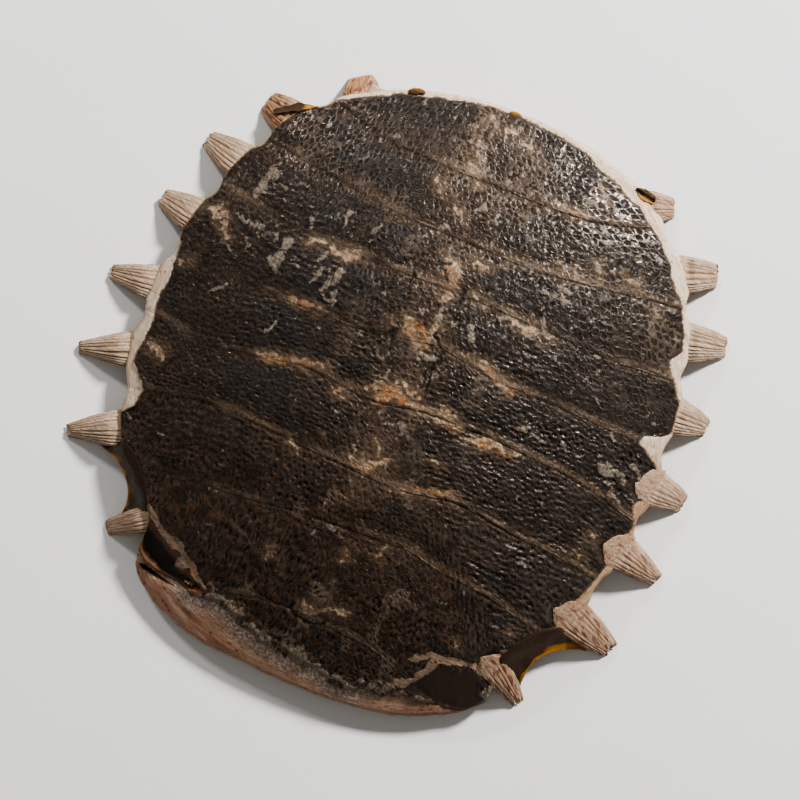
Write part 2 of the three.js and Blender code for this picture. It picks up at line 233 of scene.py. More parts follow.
# Patches where the skin is worn to its pale lower layer, rusty, or covered in grey flakes.
PALE_PATCHES = strokes(
    (1.3, -0.2, 26.6, 2, 26, 2, 23.3), (0.9, -1, 26.3, 0.3, 24.5), (0.7, 0.8, 21.6, 2.5, 20.4),
    (1.5, -3.5, 14.4, -1.5, 12.1, 0.4, 10.8), (1.3, 1.8, 16.6, 1.8, 13.9, 1.3, 11.4),
    (0.7, -5.8, 12.6, -3.6, 12), (2, -4.1, 1.3, -0.9, 1.1, 2.3, 0.9), (1.1, -0.6, 3.2, 2.1, 3.2),
    (1.1, -5.5, 0, -3.1, -0.2), (0.9, -10.8, -2.9, -7.7, -1.3),
    (1.5, 3.5, -0.1, 6.8, 0.2, 10.7, 1), (0.9, 8.2, 1.5, 12.1, 0.4),
    (1.3, -2.5, -12.6, 0.4, -12.3, 3.4, -10.2), (0.7, -1, -8.2, 1.2, -9.6),
    (0.9, 6.1, -14.6, 10.6, -13.7), (0.9, 12, -12.5, 16.7, -12.1),
    (1.5, 11.4, 12.1, 14.5, 11.1, 17.1, 9.5), (0.7, 16, 11.3, 18.2, 10.7),
    (1.5, 14.8, -1.5, 19.3, -1.2), (1.1, 20.2, -0.5, 23.9, -0.2), (0.7, 6.2, 22.7, 8, 22.1),
    (0.7, 3.9, 28.7, 5.8, 27.9), (1.1, 13.7, 21.2, 17.4, 20.8), (0.7, 18.5, 20.7, 21.7, 20.6),
    (0.9, -25.9, 20, -22.9, 20.7), (0.7, -20.9, 20.7, -18.9, 20.8),
    (1.1, -18.5, 20.3, -15.3, 21.3), (1.1, -24.1, 9.8, -22.2, 9.6), (0.7, -21.2, 9.7, -19.1, 9.6),
    (0.7, -25.7, -1.6, -22.1, -1.2), (0.9, -19.8, -1, -17.3, -0.3), (0.9, -15.8, -0.1, -13.1, 0.3),
    (0.9, -15, -13.5, -13.5, -14.8), (0.7, -4.4, 48.5, -3.7, 45.6), (0.9, -4.1, 53.1, -2.6, 52.5),
    (0.5, -0.7, 52.5, 1.7, 52.5), (0.7, 2.1, 51.7, 4.5, 50.7), (0.7, -4.7, 44.8, -1.9, 42),
    (0.9, 14.2, 43.6, 16.4, 43), (0.7, 17.5, 43.1, 19.5, 42.9), (0.5, 18.9, 48.9, 20.8, 47.3),
    (0.5, 20.9, 52.5, 23.2, 50.7), (0.7, -8.2, 39.3, -5.7, 36.8), (0.7, -3.5, 35.4, -1.4, 33.9),
    (0.9, 16.8, 33.8, 18.8, 31.9), (0.5, 20.2, 33.2, 22.9, 32.8), (0.7, 23.4, 36.5, 25, 34.5),
    (0.5, 29.3, 35.5, 32.2, 36), (0.4, 36.4, 33, 38, 31.7), (1.3, -0.6, -41.4, 2.1, -41),
    (1.1, 2.6, -40.3, 6.2, -39.8), (0.7, -1.8, -40.7, -0.4, -41.3),
    (0.5, -11.1, -35.8, -11, -33.7), (0.4, 2.5, -30.1, 2.9, -28.7), (0.4, 8.2, -27, 8.9, -25.3),
    (0.7, 26.2, -36.5, 27, -37.2), (0.7, 34.3, -32, 35.4, -31.9), (0.5, 11.6, -6.8, 13.1, -7.5),
    (0.5, 40.3, -13.3, 41.9, -14.7), (0.5, 41.5, -10.1, 42.5, -10.1),
    (0.5, -25.3, -46.1, -23.4, -47.7), (0.7, -13.8, -47.5, -12, -48),
    (0.7, -6.3, -51.3, -4.2, -51.6), (0.7, -0.5, -51.8, 1.7, -52.3),
    (1.1, -46.6, -9.1, -43.8, -9.3), (0.9, -46.4, 18.3, -43.9, 19.5),
    (1.1, -44.8, 17.8, -42.4, 18.3), (0.9, -42.3, 17.2, -40.3, 15.2),
    (0.5, -47.4, 7.5, -45.1, 8.7),
)
RUST_PATCHES = strokes(
    (0.9, -0.7, 25.6, 0.8, 24.3), (0.5, 2, 23.3, 1.6, 21.5),
    (1.1, -1.2, 14.6, 0.3, 12.9, 1.7, 11.4), (0.5, -2.3, 12.6, -0.6, 11.3),
    (1.3, -2.4, 1.3, 1.3, 0.5), (0.7, -4.2, -0.3, -2.5, -0.7), (0.7, 13.1, 11.7, 15.3, 10.3),
    (0.5, 16.8, -1.7, 19.4, -1.4), (0.5, 20.8, -1, 23, -0.9), (0.5, 12, -12.5, 15.8, -12.3),
    (0.7, -1.7, -14, 1.3, -12.3), (0.5, -24.8, -2.2, -21.1, -1.4), (0.7, -19, -1.1, -16, -0.4),
    (0.5, -23.1, 9.5, -21.1, 9.3), (0.4, 15.1, 43.2, 17.6, 42.9), (0.4, -10.6, -2.9, -9.6, -2.5),
    (0.5, 6.9, -14.1, 10.4, -13.2), (0.5, 9.9, 0.3, 12.1, -0.4), (0.5, 17.2, 9.9, 19, 8.7),
)
GREY_PATCHES = strokes(
    (1.8, -38.7, 24.2, -37.6, 26.2, -36.8, 28.9), (1.1, -38.1, 26.4, -36.5, 25.8),
    (0.7, -34.7, 28.2, -33.3, 27.1), (1.5, -29.9, 13.1, -29.8, 15.5),
    (0.9, -31.6, 14.4, -30.5, 13.4), (1.1, -28.7, 17.1, -28.3, 19.5),
    (1.1, -26.7, 21.9, -27.1, 24.1), (0.7, -23.2, 17.8, -21.3, 19.8),
    (0.9, -21.8, 13.7, -21.9, 16.8), (0.7, -19.5, 13.1, -20.1, 16.8),
    (0.9, -18.3, 14.6, -17.7, 16.8), (0.7, -17, 13.8, -17.6, 11.6), (0.7, -20, 12.5, -18.6, 11.9),
    (0.9, -20.5, 25.6, -21.1, 27.7), (0.7, -15.5, 26.5, -15, 27.7), (0.4, -40.1, 6.1, -39.8, 6.3),
    (0.5, -38.7, 5.7, -37, 7.2), (0.7, -25.9, 1.7, -25.3, 4.1), (0.4, -18, 6.5, -17.5, 6.4),
    (0.4, -32.5, -26.2, -32.2, -25.3), (0.7, -39.9, 19.5, -38.3, 18.8),
    (0.7, -37.2, 19.2, -34.9, 18.9), (0.5, -39.3, 12.8, -37.5, 12.5),
    (0.7, -37.2, 15.6, -35.7, 15.1), (0.7, -26, 15.9, -24.4, 15), (0.9, 19, 23.8, 20.9, 21.5),
    (0.7, 18.7, 21.3, 20.4, 20.9), (0.9, 20, 28.1, 22.4, 27.1), (0.7, 17.6, 28.3, 19.2, 28.1),
    (0.7, 20.4, 29.8, 21.5, 29.1), (0.7, 11.2, 30.6, 13, 30.2), (0.7, 21.7, 42.5, 23.2, 41.6),
    (0.7, 17.2, 46.1, 18.8, 45.6), (0.7, 21, 47.8, 22.4, 46.4), (0.7, 29, 43.7, 30.9, 43.7),
    (0.5, 23.3, 18.2, 25, 17.4), (0.5, 31.7, 14.3, 33.5, 13.5), (0.7, 36.5, 9.2, 38.5, 8.1),
    (1.6, 38.5, 2.6, 41.4, 2.2), (1.3, 40.9, 2.4, 43.4, 2.2), (0.7, 40.8, 0, 43.8, -1.6),
    (0.5, 37.8, 6.2, 38.8, 5.1), (0.5, 30.3, 3.6, 32, 2.4), (0.5, 33.2, 3.6, 34.7, 3.4),
    (0.7, 22.2, 4.6, 24.4, 4), (0.5, 25.4, 3.6, 27.6, 2.9), (1.1, 44.3, 4.5, 46.3, 3.7),
    (0.9, 45, -0.8, 46.9, -1.6), (0.9, 1.8, -3.9, 3.7, -5.4), (0.5, 3.5, -4, 5.7, -5.4),
    (0.9, 7.2, 17.5, 8.8, 15.7), (0.9, 11.2, 20.9, 13.1, 20.9), (0.5, -7.2, 6.7, -5.5, 5.4),
    (0.5, 0.9, 9.7, 3.9, 9.8), (0.7, -3.4, -26.6, -1.2, -26.1), (0.7, -0.9, -24.8, 0.6, -25.7),
    (0.5, 37.3, -13.1, 38.8, -13.9), (0.4, 24, -27.1, 25.1, -27.8),
    (0.4, 31.7, -18.3, 33.1, -18.9), (0.5, -38.4, -23, -36.9, -23.4),
    (0.5, -46, -22, -44.8, -22.7), (0.5, -24, -34.4, -23, -34.7),
    (0.5, -13.7, -43.2, -12.3, -43.5),
)


def colour_setting(name, description, default):
    return FloatVectorProperty(
        name=name, description=description, default=default, subtype="COLOR", min=0, max=1
    )


def length_setting(name, description, default):
    """A length, described in metres."""
    return FloatProperty(
        name=name, description=description + ", in metres", default=default,
        subtype="DISTANCE", unit="LENGTH",
    )


def angle_setting(name, description, degrees):
    return FloatProperty(
        name=name, description=description, default=math.radians(degrees),
        subtype="ANGLE", unit="ROTATION",
    )


class SkinSettings(PropertyGroup):
    """The dried skin on the shield."""

    cells_across: IntProperty(
        name="Cells across", description="Faces along each side of the skin's grid",
        default=300, min=40, max=300,
    )
    pit_width: length_setting("Pit width", "Spacing of the pits in the skin", 0.98 * MM)
    pit_depth: length_setting("Pit depth", "Depth of the pits in the skin", 0.34 * MM)
    ridge_colour: colour_setting(
        "Skin ridge", "Colour of the raised net of the skin", (0.037, 0.0220, 0.0148)
    )
    # Painted shade: the pit colour is partly the skin's own and partly the shade down in the pits.
    pit_colour_and_shade: colour_setting(
        "Skin pit", "Colour down in the pits of the skin", (0.0062, 0.0036, 0.0024)
    )
    worn_colour: colour_setting(
        "Worn skin", "Colour of the thin skin along the midline and seams", (0.072, 0.046, 0.030)
    )
    pale_colour: colour_setting(
        "Pale patch", "Colour of the skin's pale lower layer", (0.36, 0.25, 0.16)
    )
    grey_colour: colour_setting(
        "Grey patch", "Colour of the grey flakes of outer skin", (0.165, 0.132, 0.102)
    )
    rust_colour: colour_setting(
        "Rust", "Colour of the rusty stains along the seams", (0.25, 0.105, 0.032)
    )


class BoneSettings(PropertyGroup):
    """Bare bone: the rim, the rib ends, the ribs and the backbone."""

    bone_colour: colour_setting("Bone", "Colour of clean bare bone", (0.56, 0.465, 0.355))
    pore_colour: colour_setting(
        "Pores", "Colour of the pores and grooves in the bone", (0.20, 0.085, 0.035)
    )
    groove_depth: length_setting("Groove depth", "Depth of the grooves along a rib end", 0.2 * MM)


class FilmSettings(PropertyGroup):
    """Dried membranes and loose scraps of skin."""

    film_thickness: length_setting("Film thickness", "Thickness of the webs of membrane", 0.3 * MM)
    amber_colour: colour_setting("Amber", "Colour of thin dried membrane", (0.40, 0.17, 0.02))
    film_colour: colour_setting(
        "Thick film", "Colour of membrane where it is thick", (0.036, 0.0205, 0.0125)
    )


class StageSettings(PropertyGroup):
    """Floor, lights and camera."""

    camera_distance: length_setting("Camera distance", "From the middle of the shell", 0.45)
    camera_roll: angle_setting("Camera roll", "Turn of the picture about the line of sight", 22.7)
    camera_tilt: angle_setting("Camera tilt", "Lean towards the right and towards the tail", 4)
    lens: FloatProperty(
        name="Lens", description="Focal length in millimetres", default=111.375, unit="CAMERA",
    )
    key_power: FloatProperty(
        name="Main light", description="Power of the main light", default=15.5, unit="POWER",
    )
    fill_power: FloatProperty(
        name="Fill light", description="Power of the weaker light", default=3.0, unit="POWER",
    )
    floor_colour: colour_setting("Floor", "Colour of the floor", (0.78, 0.77, 0.75))


# ------------------------------------------------------------------ small sums
def smooth(value):
    value = np.clip(value, 0.0, 1.0)
    return value * value * (3 - 2 * value)


def rise(value, low, high):
    """0 up to low, 1 from high on, and smooth between them."""
    return smooth((value - low) / (high - low))


def blend(share, first, second):
    """first at a share of 0, second at 1."""
    return first + (second - first) * share


def bump_at(value, width):
    """1 where a value is 0, falling away on both sides of it."""
    return np.exp(-((value / width) ** 2))


def columns(*values):
    """One row for each point, from arrays and single values."""
    return np.stack(np.broadcast_arrays(*values), axis=1)


def scatter(i, j, seed):
    """An even, repeatable number from 0 to 1 for each pair of whole numbers."""
    h = (i.astype(np.int64) * 374761393 + j.astype(np.int64) * 668265263) & 0xFFFFFFFF
    h = (h + seed * 97463477) & 0xFFFFFFFF
    h = ((h ^ (h >> 13)) * 1274126177) & 0xFFFFFFFF
    return (h ^ (h >> 16)) / 4294967296.0


def clouds(x, y, size, seed, layers):
    """Smooth uneven values about 0, mostly within 1, with patches of the given size."""
    total, weight, share = np.zeros(np.shape(x)), 0.0, 1.0
    for layer in range(layers):
        u, v = x / size, y / size
        i, j = np.floor(u), np.floor(v)
        a, b = smooth(u - i), smooth(v - j)
        low = blend(a, scatter(i, j, seed + layer), scatter(i + 1, j, seed + layer))
        high = blend(a, scatter(i, j + 1, seed + layer), scatter(i + 1, j + 1, seed + layer))
        total += share * (2 * blend(b, low, high) - 1)
        weight += share
        share /= 2
        size /= 2
    return 1.6 * total / weight


def cells(u, v, seed, jitter):
    """Distances to the nearest and next of scattered centres, and the nearest's own number."""
    i, j = np.floor(u), np.floor(v)
    first = np.full(u.shape, FAR)
    second = first.copy()
    own = np.zeros(u.shape)
    for di in (-1, 0, 1):
        for dj in (-1, 0, 1):
            ci, cj = i + di, j + dj
            stagger = 0.5 * (np.mod(cj, 2) - 0.5)
            x = ci + 0.5 + stagger + jitter * (scatter(ci, cj, seed) - 0.5)
            y = cj + 0.5 + jitter * (scatter(ci, cj, seed + 1) - 0.5)
            far = np.hypot(u - x, v - y)
            nearer = far < first
            second = np.where(nearer, first, np.minimum(second, far))
            own = np.where(nearer, scatter(ci, cj, seed + 2), own)
            first = np.minimum(first, far)
    return first, second, own


def from_line(x, y, points):
    """Distance to a broken line."""
    best = np.full(x.shape, 1e9)
    for (ax, ay), (bx, by) in zip(points, points[1:]):
        dx, dy = bx - ax, by - ay
        share = np.clip(((x - ax) * dx + (y - ay) * dy) / (dx * dx + dy * dy), 0, 1)
        best = np.minimum(best, np.hypot(x - ax - share * dx, y - ay - share * dy))
    return best


def inside_by(x, y, outline):
    """Distance to a closed outline, positive inside it."""
    closed = outline + outline[:1]
    crossed = np.zeros(x.shape, bool)
    for (ax, ay), (bx, by) in zip(closed, closed[1:]):
        if ay == by:
            continue
        meets = (ay > y) != (by > y)
        crossed ^= meets & (x < ax + (y - ay) * (bx - ax) / (by - ay))
    return np.where(crossed, 1.0, -1.0) * from_line(x, y, closed)


def stroke_share(x, y, strokes):
    """How far a point lies inside the nearest of some strokes of the given widths."""
    best = np.full(x.shape, -FAR)
    for points, width in strokes:
        best = np.maximum(best, width / 2 - from_line(x, y, points))
    return best


# ------------------------------------------------------------------ the shell's surface
def softened(samples, spread):
    """A row of values, smoothed over about spread steps each way and closed on itself."""
    reach = int(3 * spread)
    steps = np.arange(-reach, reach + 1)
    weights = np.exp(-0.5 * (steps / spread) ** 2)
    long = np.concatenate([samples[-reach:], samples, samples[:reach]])
    return np.convolve(long, weights / weights.sum(), mode="valid")


def make_rim_table():
    """The rim's radius all round, drawn in a little midway between two rib ends."""
    at = np.arange(0, 360, 0.25)
    turned = RIM[0][0] + np.mod(at - RIM[0][0], 360)
    radius = softened(np.interp(turned, *zip(*RIM)), 5)
    for side in (LEFT_RIBS, RIGHT_RIBS):
        for before, here in zip(side[1:], side[2:]):
            a = math.degrees(math.atan2(before[1][1], before[1][0]))
            b = math.degrees(math.atan2(here[1][1], here[1][0]))
            span = (b - a + 180) % 360 - 180
            off = np.abs(np.mod(at - a - span / 2 + 180, 360) - 180)
            share = np.clip(off / (abs(span) * SCALLOP_SHARE), 0, 1)
            radius -= SCALLOP * np.cos(share * np.pi / 2) ** 2
    return at, radius


RIM_ANGLES, RIM_RADII = make_rim_table()
SEAM_X = np.arange(-SEAM_REACH, SEAM_REACH + 0.1, 0.5)
SEAM_Y = np.array(
    [
        np.convolve(
            np.pad(np.interp(SEAM_X, *zip(*seam)), SEAM_STEPS // 2, "edge"),
            np.ones(SEAM_STEPS) / SEAM_STEPS,
            mode="valid",
        )
        for seam in SEAMS
    ]
)


def rim_radius(angle):
    """Radius of the rim at an angle in radians."""
    turned = np.mod(np.degrees(angle), 360)
    return np.interp(turned, RIM_ANGLES, RIM_RADII, period=360)


def outward(x, y):
    """How far out a point lies: 0 at the crown and 1 on the dome's footprint."""
    power = DOME_SQUARENESS
    return (np.abs(x / DOME_X) ** power + np.abs(y / DOME_Y) ** power) ** (1 / power)


def top_at(x, y):
    """Height of the dome's smooth top."""
    return RIM_TOP + ARCH * (1 - outward(x, y) ** ARCH_POWER)


def underside_at(x, y):
    """Height of the dome's smooth underside."""
    return top_at(x, y) - blend(np.minimum(outward(x, y), 1) ** 2, PLATE_MIDDLE, PLATE_RIM)


def seam_lie(x, y):
    """Where a point lies between its two seams: the height it would have on straight
    seams, its share of the way across its plate, and its distance from the nearer seam."""
    rows = np.array([np.interp(x, SEAM_X, row) for row in SEAM_Y])
    plate = np.clip((rows <= y).sum(axis=0) - 1, 0, len(SEAMS) - 2)
    low = np.take_along_axis(rows, plate[None], 0)[0]
    high = np.take_along_axis(rows, plate[None] + 1, 0)[0]
    share = np.clip((y - low) / (high - low), 0, 1)
    middles = np.array(SEAM_MIDDLES)
    straight = blend(share, middles[plate], middles[plate + 1])
    off = y - rows[1:-1]
    nearest = np.abs(off).argmin(axis=0)
    return straight, share, plate, np.take_along_axis(off, nearest[None], 0)[0]


def neural_line(x, straight):
    """Distance from the zigzag outline of the row of small plates on the midline."""
    middles = np.array(SEAM_MIDDLES)
    plate = np.clip(np.searchsorted(middles, straight) - 1, 0, len(middles) - 2)
    share = (straight - middles[plate]) / (middles[plate + 1] - middles[plate])
    half = 4.1 + 1.5 * (np.abs(share - 0.35) - 0.3) + 0.5 * clouds(x, straight, 3.0, 61, 2)
    side = np.abs(np.abs(x - 0.4) - half)
    cross = np.abs(share - 0.28) * (middles[plate + 1] - middles[plate])
    cross = np.where(np.abs(x - 0.4) < half, cross + 0.25 * np.abs(x), FAR)
    gone = (straight < -40) | (straight > 39)
    return np.where(gone, FAR, np.minimum(side, cross))


def make_skin_table():
    """Reach of the skin from the shell's middle, for each angle of the rim's table."""
    corners = np.array(SKIN_EDGE)
    turn = np.mod(np.degrees(np.arctan2(corners[:, 1], corners[:, 0])), 360)
    order = turn.argsort()
    reach = np.hypot(corners[:, 0], corners[:, 1])[order]
    return np.interp(RIM_ANGLES, turn[order], reach, period=360)


SKIN_REACHES = make_skin_table()


def skin_reach(angle):
    """Radius of the skin's torn edge at an angle in radians."""
    turned = np.mod(np.degrees(angle), 360)
    reach = np.interp(turned, RIM_ANGLES, SKIN_REACHES, period=360)
    around = np.radians(turned)
    u, v = SKIN_RADIUS * np.cos(around), SKIN_RADIUS * np.sin(around)
    torn = 0.3 * clouds(u, v, 2.2, 38, 5)
    head = rise(-v, 40, 46) * rise(u, -27, -20) * rise(-u, -34, -26)
    by_slit = rise(-v, 36, 42) * rise(-u, 22, 27)
    torn = torn * (1 + 2.4 * head) + 0.12 * clouds(u, v, 0.6, 39, 2)
    reach = reach + torn * (1 - 0.75 * by_slit)
    return np.minimum(reach, rim_radius(around) + 0.16 + 0.1 * clouds(u, v, 1.5, 40, 3))


def net(x, y, long, wide, seed, jitter=0.6):
    """Pits in a raised net: 1 down in a pit and 0 on the net, and each pit's own number."""
    near, next_near, own = cells(x / long, y / wide, seed, jitter)
    bowl = 1 - rise(near, 0.08, 0.58)
    return 0.5 * bowl + 0.5 * rise(next_near - near, 0.0, 0.6), own


def openings(x, y):
    """Distance into the nearer of the two filmed openings, and into the bone beside them."""
    wx = x + 0.4 * clouds(x, y, 1.6, 31, 3)
    wy = y + 0.4 * clouds(x, y, 1.6, 32, 3)
    window = np.maximum(inside_by(wx, wy, LEFT_WINDOW), inside_by(wx, wy, RIGHT_WINDOW))
    lump = stroke_share(wx, wy, BONE_STRIPS) + 0.5 * clouds(x, y, 1.5, 33, 4)
    return window, lump


def under_plates(x, y):
    """1 where the bare base of a rib end or a web of membrane lies over the skin."""
    web = RIGHT_WEB_INNER + RIGHT_WEB_OUTER[::-1]
    other = LEFT_WEB_INNER + LEFT_WEB_OUTER[::-1]
    inside = np.maximum(inside_by(x, y, web), inside_by(x, y, other))
    total = rise(inside, -0.1, 0.7)
    for _, base, tip, width, _, over, _ in RIGHT_RIBS:
        if over == 0:
            continue
        base, tip = np.array(base), np.array(tip)
        ahead = (tip - base) / np.linalg.norm(tip - base)
        far = from_line(x, y, [tuple(base - ahead * over * 0.5), tuple(base + ahead * 2)])
        total = np.maximum(total, 1 - rise(far, width / 2 - 0.6, width / 2 + 0.3))
    return total


def read_surface(x, y, pit_width, pit_depth):
    """Everything that varies over the skin, as arrays, and its height in millimetres."""
    straight, share, plate, seam = seam_lie(x, y)
    drift_x = x + 0.45 * clouds(x, y, 5, 11, 3)
    drift_y = straight + 0.45 * clouds(x, y, 5, 12, 3)
    pits, own = net(drift_x, drift_y, pit_width, pit_width * 0.92, 3, 0.75)

    # Beads in rows on the tail's left, long ridges round the rim and down the head's plates.
    angle = np.arctan2(y, x)
    radius = np.hypot(x, y)
    around = angle * SKIN_RADIUS + clouds(x, y, 4, 15, 2)
    out_drift = clouds(x, y, 5, 16, 2)
    side_drift = clouds(x, y, 5, 17, 2)
    slanted = x - 0.2 * y + 0.9 * clouds(x, y, 5, 13, 2)
    down_head = y + 0.8 * clouds(x, y, 3, 14, 2)
    head_lanes, head_own = net(slanted, down_head, 0.82, 2.2, 5)
    rounds, rounds_own = net(around, radius + 0.6 * out_drift, 2.0, 1.0, 7, 0.7)
    beads, beads_own = net(around, radius + 0.4 * out_drift, 1.2, 1.05, 8)
    lanes, lanes_own = net(x + 0.6 * side_drift, y + clouds(x, y, 4, 18, 2), 0.98, 2.4, 9)
    curly_x = x + 0.7 * clouds(x, y, 1.9, 19, 2)
    curly_y = straight + 0.7 * clouds(x, y, 1.9, 20, 2)
    rows, rows_own = net(curly_x, curly_y, 1.25, 1.05, 10, 0.7)
    to_head = rise(-y, 26, 30) * rise(-x, -12, 2)
    to_rounds = rise(y, 34, 41) * rise(x, 12, 18)
    to_beads = rise(y, 24, 36) * rise(-x, 6, 14)
    to_lanes = rise(y, 42, 47) * rise(x, -14, -9) * (1 - rise(x, 8, 14))
    to_rows = rise(x, 20, 26) * rise(y, 6, 16) * (1 - to_rounds)
    for weight, other, number in (
        (to_head, head_lanes, head_own),
        (to_rows, 1 - rows, rows_own),
        (to_rounds, 1 - rounds, rounds_own),
        (to_beads, 1 - beads, beads_own),
        (to_lanes, lanes, lanes_own),
    ):
        pits = blend(weight, pits, other)
        own = np.where(weight > 0.5, number, own)

    # Where the skin is worn, patchy, stained or gone, and where a painted sheen turns it bluish.
    wx = x + 0.9 * clouds(x, y, 2.2, 34, 3)
    wy = y + 0.9 * clouds(x, y, 2.2, 35, 3)
    crinkle = 0.32 * clouds(x, y, 1.1, 47, 3)
    pale = stroke_share(wx, wy, PALE_PATCHES) + crinkle
    rust = stroke_share(wx, wy, RUST_PATCHES) + crinkle
    grey = stroke_share(wx, wy, GREY_PATCHES) + 0.8 * crinkle
    patches = clouds(x, y, 6, 21, 4)
    left = rise(-x, 4, 26) * (1 - to_beads)
    crust = rise(clouds(x, y, 4.2, 27, 5), 0.1, 0.7) * (1 - 0.75 * left) * (1 - 0.6 * to_rounds)
    crust = crust * (1 - 0.6 * rise(x, 14, 24) * (1 - rise(y, 10, 24)))
    middle = bump_at(x - 0.5, 8.5) * rise(y, -34, -24)
    near_middle = bump_at(x, 26)
    tail_right = rise(x, 0, 14)
    band = rise(clouds(x, y, 7, 22, 3), blend(tail_right, -0.3, -1.1), blend(tail_right, 0.7, 0.0))
    band = band * bump_at(seam - 0.55, 0.8)
    worn = np.clip(
        0.9 * middle * rise(patches, -0.5, 0.5)
        + band * blend(near_middle, 0.35, 0.8)
        + 0.45 * rise(clouds(x, y, 4, 23, 4), 0.35, 0.9) * (1 - rise(np.abs(x), 26, 44))
        + 0.5 * rise(y, 24, 40) * rise(18 - np.abs(x - 2), 0, 12) * rise(patches, -0.5, 0.5),
        0,
        1,
    )
    edge = skin_reach(angle) - radius
    crumbs = clouds(x, y, 1.3, 36, 3) + 0.25 - 0.42 * np.abs(edge - 0.6)
    crumbs = np.where((y < -40) & (x > -24), crumbs, -2.0)
    flecks = clouds(x, y, 1.5, 37, 3) - 1.2 + 0.3 * middle + 0.2 * rise(y, 0, 20)
    grey = np.maximum(grey, np.maximum(crumbs * 0.9, flecks * 0.7))
    blue = rise(share, 0.08, 0.3) * (1 - rise(share, 0.75, 0.95))
    blue = blue * rise(np.abs(x), 3, 8) * (1 - rise(np.abs(x), 24, 38)) * rise(y, -26, -10)
    blue = blue * rise(clouds(x, y, 8, 24, 3), -0.9, 0.1)
    # Painted sheen: the skin turns bluish grey towards the right and the tail, where the cool
    # highlights lie; the blue-black blocks in the middles of the plates above are the skin's own.
    blue = np.maximum(blue, 0.65 * rise(x + 0.3 * y, 8, 26))
    window, lump = openings(x, y)
    cracks = np.minimum.reduce([from_line(wx, wy, crack) for crack in CRACKS])
    neural = neural_line(x, straight) + 0.3 * rise(clouds(x, y, 5, 25, 3), -0.4, 0.3)

    # Rows of the finer net that the shader draws: round the tail's rim, down the head's
    # plates, and along the seams elsewhere.
    polar = np.maximum(to_rounds, to_beads)
    ring_wide = np.where(to_rounds > to_beads, 1.45, 1.2)
    row_across = (straight + 0.4 * clouds(x, y, 6, 18, 2)) / 0.98
    row_along = (x + 0.3 * side_drift) / 1.2
    ringed, headed = polar > 0.5, to_head > 0.5
    over_ring = np.where(headed, down_head / 2.1, row_across)
    over_ring = np.where(ringed, radius + 0.45 * out_drift, over_ring)
    along_ring = np.where(headed, slanted / 0.9, row_along)
    along_ring = np.where(ringed, angle * SKIN_RADIUS / ring_wide, along_ring)
    in_rows = np.maximum(np.abs(polar - to_rows), 0.8 * rise(to_head, 0.5, 1.0))
    switch = np.maximum(bump_at(polar - 0.5, 0.2), bump_at(to_head - 0.5, 0.2))
    in_rows = np.maximum(in_rows, 0.62 * (1 - switch) * (1 - left))
    along_ring = along_ring + 0.5 * over_ring

    # How deep the pits are, and how high the skin lies.
    film = rise(window, -0.25, 0.45)
    bone_lump = rise(lump, -0.1, 0.3)
    smooth_part = np.maximum(0.6 * rise(pale, -0.25, 0.2), 0.55 * rise(grey, -0.1, 0.2))
    depth = pit_depth * (0.55 + 0.9 * own) * (1 - 0.5 * worn) * (1 - 0.85 * smooth_part)
    depth = depth * (1 - 0.85 * bump_at(seam - 0.45, 0.5) * rise(patches, -0.9, 0))
    bold = np.maximum.reduce([to_rows, to_rounds, to_beads, to_lanes])
    depth = depth * blend(rise(patches, -0.6, 0.6), 0.8, 1.15) * (1 - 0.6 * bold)
    depth = depth * (1 - 0.5 * crust) * (1 - 0.4 * left)
    depth = depth * (1 - 0.95 * film) * (1 - bone_lump)
    near_edge = rise(edge, 0.0, 1.6)
    height = -depth * pits * blend(near_edge, 0.4, 1.0)
    height += 0.2 * clouds(x, y, 15, 41, 3) * near_edge
    height += 0.03 * clouds(x, y, 0.85, 42, 2) + 0.07 * clouds(x, y, 3.5, 48, 2)
    bulge = 0.26 * (1 - (2 * share - 1) ** 2) * (1 - rise(np.abs(x), 34, 48))
    height += np.where((plate > 0) & (plate < len(SEAMS) - 2), bulge, 0.15)
    seen = rise(clouds(x, y, 7, 28, 3), -0.6, 0.4) * (1 - 0.6 * left)
    height -= 0.15 * seen * bump_at(seam, 0.22) * (1 - bone_lump)
    height += 0.10 * seen * bump_at(seam - 0.5, 0.28) * rise(patches, -0.6, 0.4)
    height -= 0.10 * bump_at(neural, 0.3)
    height += 0.08 * rise(grey, 0.0, 0.15) - 0.05 * rise(pale, -0.1, 0.3)
    ledge = 0.06 + 0.12 * clouds(x, y, 1.1, 43, 3)
    height = blend(bone_lump, height, ledge)
    sink = np.where(x < 0, 1.0, 0.3)
    height -= sink * film * (1 - bone_lump)
    height -= 0.18 * (1 - rise(cracks, 0.05, 0.4))
    height = blend(under_plates(x, y), height, -0.35)
    return {
        "height": height,
        "cover": columns(window, lump, band),
        "patch": columns(pale, rust, grey),
        "lines": columns(seam, neural, cracks),
        "net": columns(1 - pits, crust, worn),
        "place": columns(drift_x, drift_y, blue),
        "ring": columns(along_ring, over_ring, in_rows),
    }


# ------------------------------------------------------------------ meshes
def to_frame(points):
    """Points in metres in the frame, from millimetres about the shell's middle."""
    return (np.asarray(points) + MIDDLE) * MM


def set_points(verts, points):
    for vert, point in zip(verts, to_frame(points)):
        vert.co = point


def add_object(name, data):
    """Puts a new object into the scene."""
    item = bpy.data.objects.new(name, data)
    bpy.context.scene.collection.objects.link(item)
    return item


def add_mesh(bm, name, material):
    """Turns a bmesh into an object of one material."""
    mesh = bpy.data.meshes.new(name)
    bm.to_mesh(mesh)
    bm.free()
    mesh.materials.append(material)
    return add_object(name, mesh)


def finish_piece(bm, name, material, nodes=()):
    """Turns a bmesh into a smooth-shaded piece that rides on the body."""
    bmesh.ops.recalc_face_normals(bm, faces=bm.faces)
    for face in bm.faces:
        face.smooth = True
    piece = add_mesh(bm, name, material)
    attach(piece, "root")
    if nodes:
        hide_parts(*nodes)
    return piece


